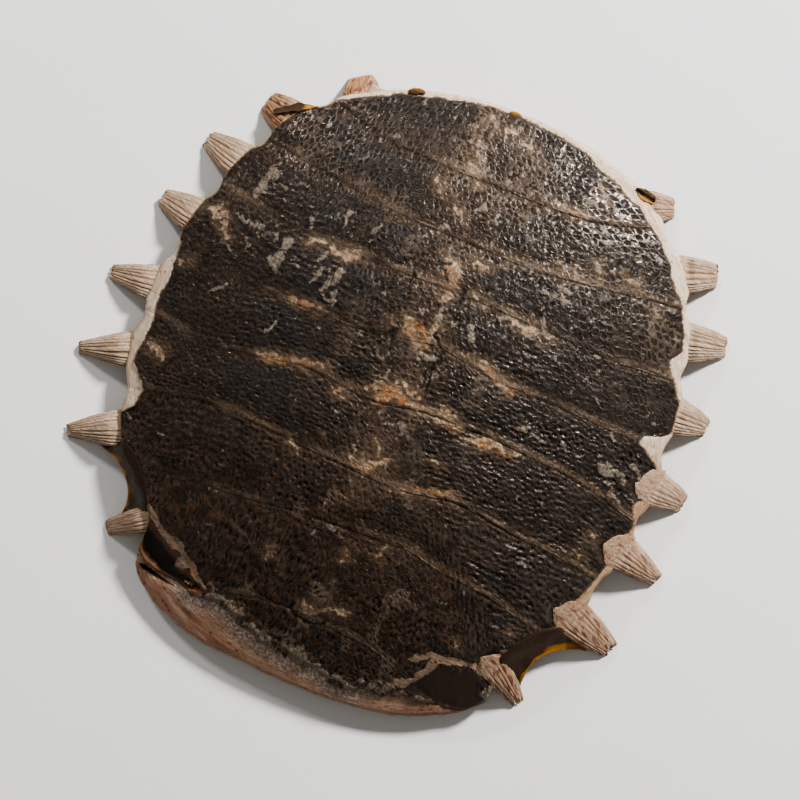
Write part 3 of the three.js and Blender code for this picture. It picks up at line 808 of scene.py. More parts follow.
def give_attribute(piece, name, values):
    """Three numbers for each vertex, which the piece's material reads by name."""
    attribute = piece.data.attributes.new(name, "FLOAT_VECTOR", "POINT")
    attribute.data.foreach_set("vector", values.astype(np.float32).ravel())


def points_of(piece):
    """Columns of a piece's vertices, in millimetres about the shell's middle."""
    flat = np.zeros(len(piece.data.vertices) * 3, np.float32)
    piece.data.vertices.foreach_get("co", flat)
    return (flat.reshape(-1, 3) / MM - MIDDLE).T


def square_to_disc(a, b):
    """Spreads a square evenly over a disc: share of the way out, and angle."""
    sideways = np.abs(a) > np.abs(b)
    out = np.where(sideways, a, b)
    ratio = np.where(sideways, b, a) / np.where(out == 0, 1, out)
    angle = np.where(sideways, ratio * np.pi / 4, np.pi / 2 - ratio * np.pi / 4)
    return np.abs(out), np.where(out < 0, angle + np.pi, angle)


def flat_grid(bm, across, along):
    """A grid of cells over a square from -1 to 1: its vertices and their coordinates."""
    verts = bmesh.ops.create_grid(bm, x_segments=across, y_segments=along, size=1)["verts"]
    return (verts, *np.array([v.co[:2] for v in verts]).T)


def disc_grid(bm, count, reach, evenly):
    """A square grid laid over a disc whose radius is reach(angle), and evenly round the
    middle: its vertices, plan points and shares of the way out."""
    verts, a, b = flat_grid(bm, count, count)
    share, angle = square_to_disc(a, b)
    radius = blend(rise(share, 0.4, 1), evenly, reach(angle))
    return verts, share * radius * np.cos(angle), share * radius * np.sin(angle), share


def border_edges(verts):
    """Edges with one face, between vertices of this set."""
    own = set(verts)
    return [
        edge
        for edge in {e for v in verts for e in v.link_edges}
        if edge.is_boundary and edge.verts[0] in own and edge.verts[1] in own
    ]


def pull_down_ring(bm, ring, shape):
    """Extrudes a ring of edges and places its new points by shape(x, y, z)."""
    made = bmesh.ops.extrude_edge_only(bm, edges=ring)["geom"]
    fresh = [item for item in made if isinstance(item, bmesh.types.BMVert)]
    plan = np.array([v.co[:] for v in fresh]) / MM - MIDDLE
    set_points(fresh, np.stack(shape(plan[:, 0], plan[:, 1], plan[:, 2]), axis=1))
    return [item for item in made if isinstance(item, bmesh.types.BMEdge) and item.is_boundary]


RIM_RINGS = [(0.24, 0.22), (0.42, 0.55), (0.26, 0.86)]  # outwards in mm, share of the way down
BARE_DROP = 0.22  # bare bone below the skin's level
HIDDEN_DROP = 0.85  # bone under the skin, below the bottoms of the pits


def bone_drop(x, y):
    """How far the top of the bone lies below the level of the skin."""
    angle, radius = np.arctan2(y, x), np.hypot(x, y)
    under = rise(skin_reach(angle) - radius, 0.25, 1.1)
    window, _ = openings(x, y)
    slit, opened = slit_offset(x, y)
    drop = blend(under, BARE_DROP, HIDDEN_DROP) + 0.55 * rise(window, -0.6, 0.2)
    drop = drop + 0.9 * opened * (1 - rise(np.abs(slit), 0.1, 0.62)) * (1 - 0.6 * under)
    grainy = 0.05 * clouds(radius / 0.7, angle * 9, 1.0, 44, 3) + 0.07 * clouds(x, y, 2.4, 45, 3)
    fine = 0.03 * clouds(radius / 0.45, angle * 14, 1.0, 49, 2)
    seam = seam_lie(x, y)[3]
    return drop - grainy - fine + 0.1 * bump_at(seam, 0.25)


def make_bone_shield(settings):
    """The bony plate: a bare rim, a top that lies hidden under the skin and an underside."""
    bm = bmesh.new()
    verts, x, y, share = disc_grid(bm, SHIELD_CELLS, rim_radius, SHIELD_RADIUS)
    roll = rise(share, 0.975, 1.0)
    top = top_at(x, y) - bone_drop(x, y) * (1 - 0.6 * roll) - 0.16 * roll
    set_points(verts, columns(x, y, top))
    ring = border_edges(verts)
    for out, down in RIM_RINGS:

        def rim_shape(px, py, _, out=out, down=down):
            turn = np.arctan2(py, px)
            c, s = np.cos(turn), np.sin(turn)
            radius = rim_radius(turn) + out
            radius += 0.12 * clouds(SKIN_RADIUS * c, SKIN_RADIUS * s, 1.2, 51, 3)
            rx, ry = radius * c, radius * s
            return rx, ry, blend(down, top_at(rx, ry) - 0.25, underside_at(rx, ry))

        ring = pull_down_ring(bm, ring, rim_shape)
    under_verts, ux, uy, under_share = disc_grid(bm, UNDERSIDE_CELLS, rim_radius, SHIELD_RADIUS)
    seam = seam_lie(ux, uy)[3]
    low = underside_at(ux, uy) + 0.14 * bump_at(seam, 0.7)
    low += 0.10 * clouds(ux, uy, 5, 52, 4) - 0.35 * rib_swell(ux, uy)
    low = blend(rise(under_share, 0.97, 1.0), low, underside_at(ux, uy))
    set_points(under_verts, columns(ux, uy, low))
    bmesh.ops.bridge_loops(bm, edges=ring + border_edges(under_verts))
    material = bone_shield_material(settings)
    piece = finish_piece(bm, "bone_shield", material, ["carapace"])
    x, y, z = points_of(piece)
    upper = rise((z - underside_at(x, y)) / PLATE_RIM, 0.2, 0.5)
    angle, radius = np.arctan2(y, x), np.hypot(x, y)
    around = columns(radius, angle * SHIELD_RADIUS, 0.55)
    along = columns(y, x, 0.3)
    give_attribute(piece, "grain", blend(upper[:, None], along, around))
    head = rise(-y, 38, 46) * upper
    seam = np.abs(seam_lie(x, y)[3])
    inside = skin_reach(angle) - radius
    give_attribute(piece, "tone", columns(head, seam, np.where(upper > 0.5, inside, -FAR)))
    slit, opened = slit_offset(x, y)
    give_attribute(piece, "slit", columns(slit, opened * upper, 0))


def make_skin(settings):
    """The dried skin: a thin pitted layer whose torn edge leaves the bony rim bare."""
    pit_width, pit_depth = settings.pit_width / MM, settings.pit_depth / MM
    bm = bmesh.new()
    verts, x, y, share = disc_grid(bm, settings.cells_across, skin_reach, SKIN_RADIUS)
    fact = read_surface(x, y, pit_width, pit_depth)
    lift = 0.14 * rise(share, 0.94, 0.985) * rise(clouds(x, y, 3, 46, 3), -0.4, 0.6)
    fall = 0.12 * rise(share, 0.993, 1.0)
    top = top_at(x, y) + fact["height"] * (1 - 0.5 * rise(share, 0.985, 1.0)) + lift - fall
    set_points(verts, columns(x, y, top))
    ring = pull_down_ring(bm, border_edges(verts), lambda px, py, pz: (px, py, pz - SKIN_THICK))
    ring = pull_down_ring(
        bm, ring, lambda px, py, pz: (px * 0.992, py * 0.992, top_at(px, py) - 0.55)
    )
    base_verts, bx, by, _ = disc_grid(
        bm, SKIN_BASE_CELLS, lambda turn: skin_reach(turn) * 0.985, SKIN_RADIUS
    )
    window = openings(bx, by)[0]
    base = top_at(bx, by) - 1.0 - 0.5 * rise(window, -1.0, 0.0)
    set_points(base_verts, columns(bx, by, base))
    bmesh.ops.bridge_loops(bm, edges=ring + border_edges(base_verts))
    piece = finish_piece(bm, "dried_skin", skin_material(settings), ["carapace"])
    x, y, z = points_of(piece)
    fact = read_surface(x, y, pit_width, pit_depth)
    for name in ("cover", "patch", "lines", "net", "place", "ring"):
        give_attribute(piece, name, fact[name])
    angle, radius = np.arctan2(y, x), np.hypot(x, y)
    inside = skin_reach(angle) - radius
    over_rim = skin_reach(angle) - rim_radius(angle)
    sides = 0.6 * (top_at(x, y) - 0.35 - z)
    border = columns(inside - np.clip(sides, 0, 1), over_rim, rise(-y, 40, 46))
    give_attribute(piece, "border", border)


def slit_offset(x, y):
    """Signed distance across the slit at the head's left, and how open it is there."""
    along = np.array(SLIT)
    off = 0.97 * (y - np.interp(x, along[:, 0], along[:, 1]))
    opened = rise(x, along[0, 0] - 1.2, along[0, 0]) * rise(-x, -along[-1, 0] - 0.3, -along[0, 0])
    return off, opened


def rib_swell(x, y):
    """How far the shield is swollen by the rib grown into it, 0 to 1."""
    total = np.zeros(x.shape)
    for spine, base, _, width, _, _, _ in LEFT_RIBS + RIGHT_RIBS:
        start = (math.copysign(2.0, base[0]), spine)
        far = from_line(x, y, [start, base])
        total = np.maximum(total, bump_at(far, 0.55 * width))
    return total


def spindles(bm, around, rings, places):
    """Closed forms, each shaped from a sphere by its place(turn, along), and their notes."""
    ball = bmesh.new()
    bmesh.ops.create_uvsphere(ball, u_segments=around, v_segments=rings, radius=1)
    shape = bpy.data.meshes.new("ball")
    ball.to_mesh(shape)
    ball.free()
    notes = []
    for place in places:
        before = len(bm.verts)
        bm.from_mesh(shape)
        bm.verts.ensure_lookup_table()
        verts = bm.verts[before:]
        unit = np.array([v.co[:] for v in verts])
        along = np.arccos(np.clip(-unit[:, 2], -1, 1)) / np.pi
        points, note = place(np.arctan2(unit[:, 1], unit[:, 0]), along)
        set_points(verts, points)
        notes.append(note)
    bpy.data.meshes.remove(shape)
    return notes


def rib_end_place(rib, number, groove):
    """Shapes one flattened, fluted rib end from inside the shield out to its worn tip."""
    _, base, tip, width, blunt, over, stain = rib
    base, tip = np.array(base), np.array(tip)
    length = np.linalg.norm(tip - base)
    ahead = (tip - base) / length
    side = np.array([-ahead[1], ahead[0]])
    inner = 2.6 + over * 0.5

    def place(turn, along):
        ragged = clouds(turn / (2 * np.pi) * 22, turn * 0 + number, 1.0, 71, 2)
        body = np.clip((along - 0.1) / 0.78, 0, 1)
        tip_cap = np.clip((along - 0.88) / 0.12, 0, 1)
        reach = length * (0.97 - 0.05 * (1 + ragged) * rise(body, 0.6, 1.0))
        s = -inner + (reach + inner) * body + 0.5 * blunt * np.sin(tip_cap * np.pi / 2)
        past = s / length
        narrow = 0.22 + 0.6 * blunt
        half = width / 2 * np.interp(past, [-inner / length, 0, 1], [0.96, 1.0, narrow])
        half = half * (1 + 0.07 * np.sin(np.clip(past, 0, 1) * np.pi))
        tall = np.interp(past, [-inner / length, 0, 0.35, 0.7, 1], [2.2, 3, 2.8, 2.4, 1.5]) / 2
        head_cap = np.clip((s + inner) / (0.3 * width), 0, 1)
        round_head = np.clip(1 - (1 - head_cap) ** 2, 0, 1) ** 0.4
        shrink = np.sin(np.clip(along / 0.1, 0, 1) * np.pi / 2) ** 0.6
        shrink = shrink * np.cos(tip_cap * np.pi / 2) ** 0.5
        c, si = np.cos(turn), np.sin(turn)
        wide = np.sign(c) * np.abs(c) ** 0.85
        roundness = blend(rise(s, -1.5, 3.0), 0.28, 0.8) if over else 0.8
        high = np.sign(si) * np.abs(si) ** roundness
        sway = clouds(turn * 2.4, s / 12 + number * 7, 1.0, 72, 2)
        flutes = np.sin(24 * turn + 1.6 * sway + number)
        strong = 0.55 + 0.45 * clouds(turn * 4.5, s / 9 + number * 5, 1.0, 73, 2)
        broad = clouds(turn * 2, s / 14 + number * 5, 1.0, 74, 2)
        bare = rise(s, -1.0, 0.8) if over else rise(s, -0.4, 0.9)
        furrow = rise(-flutes, -0.2, 0.9) * np.clip(strong, 0.1, 1.2) * bare
        cut = 1 - groove * (0.6 if over else 1.0) * (furrow + 0.3 * broad * bare) / 1.2
        across = half * shrink * wide * (1 - 0.06 * ragged * rise(past, 0.4, 1)) * cut
        across = across * blend(round_head, 0.35, 1.0) * (1 + 0.03 * clouds(s, turn, 0.9, 75, 2))
        if over:
            plate = rise(-s, -0.4, 1.2)
            chipped = clouds(across * 0.9 + number * 3, s * 0.5, 1.0, 76, 3)
            s = s + plate * (0.3 * np.abs(across + 0.5) + 0.5 * chipped)
            ragged_side = clouds(s + number * 3, np.sign(across), 1.1, 77, 2)
            across = across * (1 + 0.12 * plate * ragged_side)
        x = base[0] + ahead[0] * s + side[0] * across
        y = base[1] + ahead[1] * s + side[1] * across
        held = underside_at(base[0], base[1]) + 0.4
        middle = blend(smooth(past), held, tall - REST_SINK)
        if over:
            lifted = top_at(x, y) + 0.02 + 0.1 * rise(s, -inner, 0) - tall * shrink
            middle = blend(rise(s, 0.6, 3.4), lifted, middle)
        else:
            sunk = top_at(x, y) - 0.5 - tall
            middle = blend(rise(s, -0.5, 2.4), sunk, middle)
        z = middle + tall * shrink * high * cut
        grain = columns(turn * (half + 0.8), s, 0.45 + 0.55 * rise(s, 0.1, 1.3))
        return columns(x, y, np.maximum(z, 0)), (grain, columns(furrow, stain, past))

    return place


def make_rib_ends(settings):
    bm = bmesh.new()
    groove = settings.groove_depth / MM
    ribs = enumerate(LEFT_RIBS + RIGHT_RIBS)
    places = [rib_end_place(rib, number, groove) for number, rib in ribs]
    notes = spindles(bm, *RIB_END_CELLS, places)
    piece = finish_piece(bm, "rib_ends", rib_end_material(settings), ["carapace"])
    for index, name in enumerate(("grain", "tone")):
        give_attribute(piece, name, np.concatenate([note[index] for note in notes]))


def rib_place(rib, number):
    """A rib under the shield, from its head on the backbone out to the rim."""
    spine, base, _, width, _, _, _ = rib
    start = np.array([math.copysign(1.2, base[0]), spine])
    end = blend(0.97, start, np.array(base))

    def place(turn, along):
        body = np.clip((along - 0.06) / 0.88, 0, 1)
        cap = np.minimum(np.clip(along / 0.06, 0, 1), np.clip((1 - along) / 0.06, 0, 1))
        x0 = blend(body, start[0], end[0])
        y0 = blend(body, start[1], end[1]) + 0.7 * np.sin(body * np.pi) * np.sign(spine)
        half = np.interp(body, [0, 0.08, 0.25, 1], [2.0, 1.3, 1.6, width * 0.4])
        tall = np.interp(body, [0, 0.15, 0.5, 1], [1.5, 1.35, 1.1, 0.9])
        shrink = np.sin(cap * np.pi / 2) ** 0.6
        turn_x = -(end[1] - start[1]) / np.linalg.norm(end - start)
        turn_y = (end[0] - start[0]) / np.linalg.norm(end - start)
        rough = 1 + 0.05 * clouds(turn * 3, body * 30 + number * 9, 1.0, 81, 3)
        across = half * shrink * np.cos(turn) * rough
        x, y = x0 + turn_x * across, y0 + turn_y * across
        z = underside_at(x0, y0) + 0.35 + tall * shrink * np.sin(turn) * rough
        lift = 0.9 * (1 - rise(body, 0.0, 0.2))
        return columns(x, y, z - lift), columns(turn * 2.0, body * 40, 0.25)

    return place


BACKBONE_HEAD = -47.0
BACKBONE_TAIL = 50.0


def backbone_place(turn, along):
    """The backbone, waisted between the joints at which the ribs meet it."""
    body = np.clip((along - 0.02) / 0.96, 0, 1)
    cap = np.minimum(np.clip(along / 0.02, 0, 1), np.clip((1 - along) / 0.02, 0, 1))
    y = blend(body, BACKBONE_HEAD, BACKBONE_TAIL)
    joints = np.array([BACKBONE_HEAD] + [rib[0] for rib in LEFT_RIBS] + [BACKBONE_TAIL])
    step = np.clip(np.searchsorted(joints, y) - 1, 0, len(joints) - 2)
    between = (y - joints[step]) / (joints[step + 1] - joints[step])
    waist = blend(np.sin(np.clip(between, 0, 1) * np.pi) ** 0.7, 1.0, 0.62)
    taper = 1 - 0.35 * (y / BACKBONE_TAIL) ** 2
    shrink = np.sin(cap * np.pi / 2) ** 0.7
    rough = 1 + 0.05 * clouds(turn * 3, y, 1.5, 82, 3)
    half = 2.7 * waist * taper * shrink * rough
    tall = 4.4 * taper * (0.5 + 0.25 * waist) * shrink * rough
    x = half * np.cos(turn)
    middle = underside_at(0 * y, y) - 1.1 * taper
    z = middle + tall * np.sin(turn)
    return columns(x, y, z), columns(turn * 2.6, y, 0.25)


def make_backbone(settings):
    bm = bmesh.new()
    ribs = enumerate(LEFT_RIBS + RIGHT_RIBS)
    grains = spindles(bm, *RIB_CELLS, [rib_place(rib, number) for number, rib in ribs])
    grains += spindles(bm, *BACKBONE_CELLS, [backbone_place])
    material = rib_end_material(settings)
    piece = finish_piece(bm, "ribs_and_backbone", material, ["carapace"])
    give_attribute(piece, "grain", np.concatenate(grains))


# ------------------------------------------------------------------ films and scraps
def along_line(points, share):
    """Points at shares of the length of a smoothed line."""
    line = np.array(points, float)
    lengths = np.concatenate([[0], np.cumsum(np.linalg.norm(np.diff(line, axis=0), axis=1))])
    at = np.asarray(share) * lengths[-1]
    soft = [at + step * lengths[-1] * 0.035 for step in (-2, -1, 0, 1, 2)]
    sums = [
        np.stack([np.interp(np.clip(s, 0, lengths[-1]), lengths, line[:, k]) for s in soft])
        for k in (0, 1)
    ]
    return columns(*[total.mean(axis=0) for total in sums])


WEB_LOWEST = 0.8  # keeps a web clear of the surface that the shell lies on


def make_web(name, inner, outer, settings, seed):
    """A thin film from under the rim out to a curved free edge that is lifted a little."""
    bm = bmesh.new()
    verts, u, v = flat_grid(bm, *WEB_CELLS)
    u, v = u * 0.5 + 0.5, v * 0.5 + 0.5
    x, y = blend(v[:, None], along_line(inner, u), along_line(outer, u)).T
    past = np.maximum(0, np.hypot(x, y) - rim_radius(np.arctan2(y, x)))
    z = top_at(x, y) - 0.02 - 0.3 * past - 0.25 * rise(past, 0, 3) * np.sin(u * np.pi)
    z += (0.02 + 0.07 * rise(past, 0, 1.5)) * clouds(x, y, 2.6, seed, 3) + 0.12 * rise(v, 0.9, 1.0)
    z -= 0.25 * rise(0.12 - v, 0, 0.12) + 0.9 * (1 - rise(u, 0.02, 0.16) * rise(1 - u, 0.02, 0.14))
    set_points(verts, columns(x, y, np.maximum(z, WEB_LOWEST)))
    bmesh.ops.recalc_face_normals(bm, faces=bm.faces)
    bmesh.ops.solidify(bm, geom=bm.faces[:], thickness=settings.film_thickness)
    piece = finish_piece(bm, name, film_material(settings), [name])
    x, y, _ = points_of(piece)
    past = np.hypot(x, y) - rim_radius(np.arctan2(y, x))
    give_attribute(piece, "film", columns(from_line(x, y, outer), past, 0))


CURL_LINE = [(-42.2, 39.2), (-40.0, 40.6), (-38.0, 41.9), (-34.3, 43.3)]
CURL_THICKNESS = 0.26


def make_left_curl(settings):
    """A ribbon of dried skin curled up along the rim."""
    bm = bmesh.new()
    verts, u, v = flat_grid(bm, *CURL_CELLS)
    u, v = u * 0.5 + 0.5, v * 0.5 + 0.5
    spine = along_line(CURL_LINE, u)
    before, after = np.clip(u - 0.02, 0, 1), np.clip(u + 0.02, 0, 1)
    ahead = along_line(CURL_LINE, after) - along_line(CURL_LINE, before)
    ahead /= np.linalg.norm(ahead, axis=1)[:, None]
    width = 1.15 * (0.5 + 0.5 * np.sin(u * np.pi)) * (1 + 0.25 * clouds(u * 7, v * 0, 1.0, 91, 3))
    width = width * (1 - 0.75 * rise(u, 0.7, 1.0))
    curl = (v - 0.4) * 1.9
    out = width * np.sin(curl) / 1.2
    x = spine[:, 0] + ahead[:, 1] * out
    y = spine[:, 1] - ahead[:, 0] * out
    z = top_at(x, y) + 0.02 + width * (1 - np.cos(curl)) * 0.3 + 0.08 * clouds(x, y, 1.4, 92, 3)
    set_points(verts, columns(x, y, z))
    finish_scrap(bm, "left_skin_curl", settings, CURL_THICKNESS)


SCRAP_MIDDLE = (27.0, 51.2)
SCRAP_AHEAD = (0.985, -0.171)
SCRAP_HALF_LENGTH = 2.0
SCRAP_HALF_WIDTH = 0.95
SCRAP_THICKNESS = 0.24


def make_right_scrap(settings):
    """A small curled strip of skin that has lifted off the last right rib end."""
    bm = bmesh.new()
    verts, a, b = flat_grid(bm, *SCRAP_CELLS)
    share, turn = square_to_disc(a, b)
    reach = 1 + 0.2 * clouds(1.6 * np.cos(turn), 1.6 * np.sin(turn), 1.0, 93, 3)
    along = SCRAP_HALF_LENGTH * share * reach * np.cos(turn)
    across = SCRAP_HALF_WIDTH * share * reach * np.sin(turn)
    ahead, side = SCRAP_AHEAD, (-SCRAP_AHEAD[1], SCRAP_AHEAD[0])
    x = SCRAP_MIDDLE[0] + ahead[0] * along + side[0] * across
    y = SCRAP_MIDDLE[1] + ahead[1] * along + side[1] * across
    z = top_at(x, y) - 0.02 + 0.6 * rise(across, -0.4, 0.4) + 0.16 * clouds(x, y, 0.9, 94, 3)
    set_points(verts, columns(x, y, z))
    finish_scrap(bm, "right_skin_scrap", settings, SCRAP_THICKNESS)


def finish_scrap(bm, name, settings, thickness):
    """Thickens a sheet of skin, and notes where it is lifted and amber."""
    bmesh.ops.recalc_face_normals(bm, faces=bm.faces)
    bmesh.ops.solidify(bm, geom=bm.faces[:], thickness=thickness * MM)
    piece = finish_piece(bm, name, scrap_material(settings), [name])
    x, y, z = points_of(piece)
    below = -(x - SCRAP_MIDDLE[0]) * SCRAP_AHEAD[1] + (y - SCRAP_MIDDLE[1]) * SCRAP_AHEAD[0]
    amber = np.where(x < 0, 1.1 * rise(x, -38.5, -35.6), rise(-below, 0.3, 0.55))
    give_attribute(piece, "film", columns(0.35 * (z - top_at(x, y)) + amber, 0, 0))


CHIPS = [((-20.4, 52.1), (-17.2, 53.1), 0.62), ((-1.9, 55.3), (1.0, 55.4), 0.7)]


def chip_place(start, end, wide, number):
    """Shapes one chip that stands along a short line on the rim."""
    start, end = np.array(start), np.array(end)
    length = np.linalg.norm(end - start)
    ahead = (end - start) / length

    def place(turn, along):
        s = length * along
        ragged = 1 + 0.2 * clouds(turn * 2, along * 6 + number, 1, 96, 2)
        shrink = np.sin(along * np.pi) ** 0.5 * ragged
        across = wide * shrink * np.cos(turn) + 0.15 * np.sin(along * np.pi)
        x = start[0] + ahead[0] * s - ahead[1] * across
        y = start[1] + ahead[1] * s + ahead[0] * across
        z = top_at(x, y) - 0.05 + 0.3 * shrink * np.sin(turn) + 0.25 * rise(across, 0, 0.6)
        return columns(x, y, z), 0.6 + 0.5 * across

    return place


def make_chips(settings):
    """Amber chips of dried skin left standing on the tail rim."""
    bm = bmesh.new()
    places = [chip_place(*chip, number) for number, chip in enumerate(CHIPS)]
    lifts = spindles(bm, *CHIP_CELLS, places)
    piece = finish_piece(bm, "rim_chips", scrap_material(settings))
    give_attribute(piece, "film", columns(np.concatenate(lifts), 0, 0))


# ------------------------------------------------------------------ shader nodes
# Colours that the settings leave alone.
WARM_BONE = (0.46, 0.25, 0.11)
BROWN_RIDGE = (0.043, 0.0220, 0.0125)
BLUE_RIDGE_AND_SHEEN = (0.026, 0.0215, 0.0190)
BLUE_PIT_SHEEN_AND_SHADE = (0.0040, 0.0036, 0.0035)
BLOTCH_SHADE = (0.42, 0.38, 0.36)
DUST_LIGHT = (0.098, 0.069, 0.047)
DUST_DARK = (0.040, 0.026, 0.017)
DUST_PIT_SHADE = (0.010, 0.0065, 0.0045)
THIN_DARK = (0.038, 0.023, 0.014)
THIN_PIT_SHADE = (0.012, 0.0075, 0.005)
GROOVE_PAINTED_SHADE = (0.005, 0.0035, 0.0025)
SPECK_PALE = (0.16, 0.12, 0.085)
WRINKLE_BROWN = (0.07, 0.048, 0.032)
STRIP_BONE = (0.20, 0.135, 0.092)
STRIP_PORE = (0.05, 0.028, 0.017)
LEFT_FILM_PAINTED_SHADE = (0.0025, 0.0017, 0.0013)
RIGHT_FILM = (0.021, 0.0120, 0.0085)
FILM_AMBER = (0.05, 0.026, 0.012)
HALO_BROWN = (0.10, 0.066, 0.040)
PALE_DARK = (0.13, 0.086, 0.053)
RUST_DARK = (0.07, 0.028, 0.012)
GREY_DARK = (0.088, 0.069, 0.051)
SEAM_BAND = (0.100, 0.066, 0.043)
SEAM_BLACK_AND_SLIT_SHADE = (0.004, 0.003, 0.002)
SEAM_LIP = (0.24, 0.18, 0.12)
THREAD_DARK = (0.010, 0.006, 0.004)
CRACK_BLACK = (0.003, 0.002, 0.0015)
LEDGE_BROWN = (0.085, 0.036, 0.015)
EDGE_BROWN = (0.105, 0.062, 0.030)
EDGE_GOLD = (0.29, 0.165, 0.045)
EDGE_HEAD = (0.13, 0.062, 0.026)
HEAD_TAN = (0.66, 0.48, 0.40)
HEAD_BROWN = (0.55, 0.34, 0.25)
HEAD_STREAK = (0.34, 0.13, 0.05)
HEAD_END = (0.36, 0.17, 0.09)
SIDE_TAN = (0.60, 0.47, 0.35)
SPOT_DARK = (0.10, 0.03, 0.017)
ASH_DARK = (0.15, 0.112, 0.085)
ASH_PALE = (0.50, 0.42, 0.35)
CRUMB_DARK = (0.035, 0.025, 0.017)
RIB_AMBER = (0.78, 0.46, 0.21)
RIB_PINK = (0.76, 0.61, 0.51)
RIB_DUST_DARK = (0.50, 0.43, 0.37)
RIB_DUST_PALE = (0.95, 0.90, 0.85)
RIB_SHADE = (0.80, 0.77, 0.74)
DOT_DARK = (0.10, 0.030, 0.018)
FLUTE_DARK = (0.13, 0.062, 0.032)
TIP_BROWN = (0.36, 0.22, 0.12)
SCRAP_DARK = (0.036, 0.019, 0.0095)
SCRAP_PALE = (0.15, 0.105, 0.07)
FLOOR_DARK = (0.5, 0.49, 0.47)
SKIN_GLOSS = (1.0, 0.84, 0.72, 1)
AMBER_GLOSS = (1.0, 0.8, 0.6, 1)
SKY = (1.0, 0.97, 0.94, 1)

# Depths of the shaders' fine relief, in millimetres.
SKIN_RELIEF = 0.075
SHIELD_RELIEF = 0.12
RIB_RELIEF = 0.06
WEB_RELIEF = 0.03
SCRAP_RELIEF = 0.05


class Sheet:
    """Adds shader nodes to one tree. Inputs are sockets or plain values."""

    def __init__(self, tree):
        self.tree = tree
        self.count = 0

    def add(self, kind, inputs=None, **settings):
        node = self.tree.nodes.new(kind)
        node.location = (220 * (self.count // 5), -240 * (self.count % 5))
        self.count += 1
        for name, value in settings.items():
            setattr(node, name, value)
        for key, value in (inputs or {}).items():
            self.feed(node.inputs[key], value)
        return node

    def feed(self, socket, value):
        if isinstance(value, bpy.types.NodeSocket):
            self.tree.links.new(value, socket)
        elif socket.type == "RGBA" and len(value) == 3:
            socket.default_value = (*value, 1)
        else:
            socket.default_value = value

    def sum(self, operation, first, second=0.0, clamp=False):
        node = self.add("ShaderNodeMath", {0: first, 1: second}, operation=operation)
        node.use_clamp = clamp
        return node.outputs[0]

    def times(self, first, second, clamp=False):
        return self.sum("MULTIPLY", first, second, clamp)

    def plus(self, first, second, clamp=False):
        return self.sum("ADD", first, second, clamp)

    def minus(self, first, second):
        return self.sum("SUBTRACT", first, second)

    def mix(self, share, first, second, way="MIX"):
        node = self.add(
            "ShaderNodeMix", {0: share, 6: first, 7: second}, data_type="RGBA", blend_type=way
        )
        return node.outputs[2]

    def tinted(self, share, colour, tint):
        """The colour, multiplied by a tint as far as share says."""
        return self.mix(share, colour, self.mix(1.0, colour, tint, "MULTIPLY"))

    def between(self, share, first, second):
        node = self.add("ShaderNodeMix", {0: share, 2: first, 3: second}, data_type="FLOAT")
        return node.outputs[0]

    def rise(self, value, low, high, start=0.0, end=1.0):
        node = self.add(
            "ShaderNodeMapRange",
            {"Value": value, "From Min": low, "From Max": high, "To Min": start, "To Max": end},
            interpolation_type="SMOOTHSTEP",
        )
        return node.outputs[0]

    def noise(self, vector, scale, detail=3.0, roughness=0.55, distortion=0.0):
        node = self.add(
            "ShaderNodeTexNoise",
            {"Vector": vector, "Scale": scale, "Detail": detail, "Roughness": roughness,
             "Distortion": distortion},
        )
        return node.outputs[0]

    def cells(self, vector, scale, feature="F1", randomness=1.0):
        node = self.add(
            "ShaderNodeTexVoronoi",
            {"Vector": vector, "Scale": scale, "Randomness": randomness},
            feature=feature,
        )
        return node.outputs[0]

    def stretched(self, vector, x, y, z=1.0):
        node = self.add(
            "ShaderNodeVectorMath", {0: vector, 1: (x, y, z)}, operation="MULTIPLY"
        )
        return node.outputs[0]

    def attribute(self, name):
        return self.add("ShaderNodeAttribute", attribute_name=name).outputs["Vector"]

    def parts(self, vector):
        return self.add("ShaderNodeSeparateXYZ", {0: vector}).outputs

    def millimetres(self):
        """Object coordinates in millimetres."""
        where = self.add("ShaderNodeTexCoord").outputs["Object"]
        return self.stretched(where, 1000, 1000, 1000)

    def use(self, group, **inputs):
        node = self.add("ShaderNodeGroup")
        node.node_tree = group
        for key, value in inputs.items():
            self.feed(node.inputs[key.replace("_", " ").capitalize()], value)
        return node.outputs


SOCKETS = {"value": "NodeSocketFloat", "colour": "NodeSocketColor", "vector": "NodeSocketVector"}


def new_group(name, inputs, outputs):
    """An empty node group with named sockets, and the sheet to fill it."""
    group = bpy.data.node_groups.new(name, "ShaderNodeTree")
    for label, kind, default in inputs:
        socket = group.interface.new_socket(label, in_out="INPUT", socket_type=SOCKETS[kind])
        if default is not None:
            socket.default_value = (*default, 1) if kind == "colour" else default
    for label, kind in outputs:
        group.interface.new_socket(label, in_out="OUTPUT", socket_type=SOCKETS[kind])
    sheet = Sheet(group)
    entry = sheet.add("NodeGroupInput")
    return group, sheet, entry.outputs


def close_group(sheet, results):
    end = sheet.add("NodeGroupOutput")
    for label, socket in results.items():
        sheet.feed(end.inputs[label], socket)


def torn_edge_group():
    """A ragged mask from a distance in millimetres."""
    found = bpy.data.node_groups.get("Torn edge")
    if found:
        return found
    group, sheet, given = new_group(
        "Torn edge",
        [("Distance", "value", 0.0), ("Place", "vector", None), ("Ragged", "value", 0.4),
         ("Soft", "value", 0.12), ("Size", "value", 1.2)],
        [("Mask", "value")],
    )
    rough = sheet.noise(given["Place"], given["Size"], 5, 0.65)
    shift = sheet.times(sheet.minus(rough, 0.5), given["Ragged"])
    moved = sheet.plus(given["Distance"], shift)
    low = sheet.times(given["Soft"], -1)
    close_group(sheet, {"Mask": sheet.rise(moved, low, given["Soft"])})
    return group


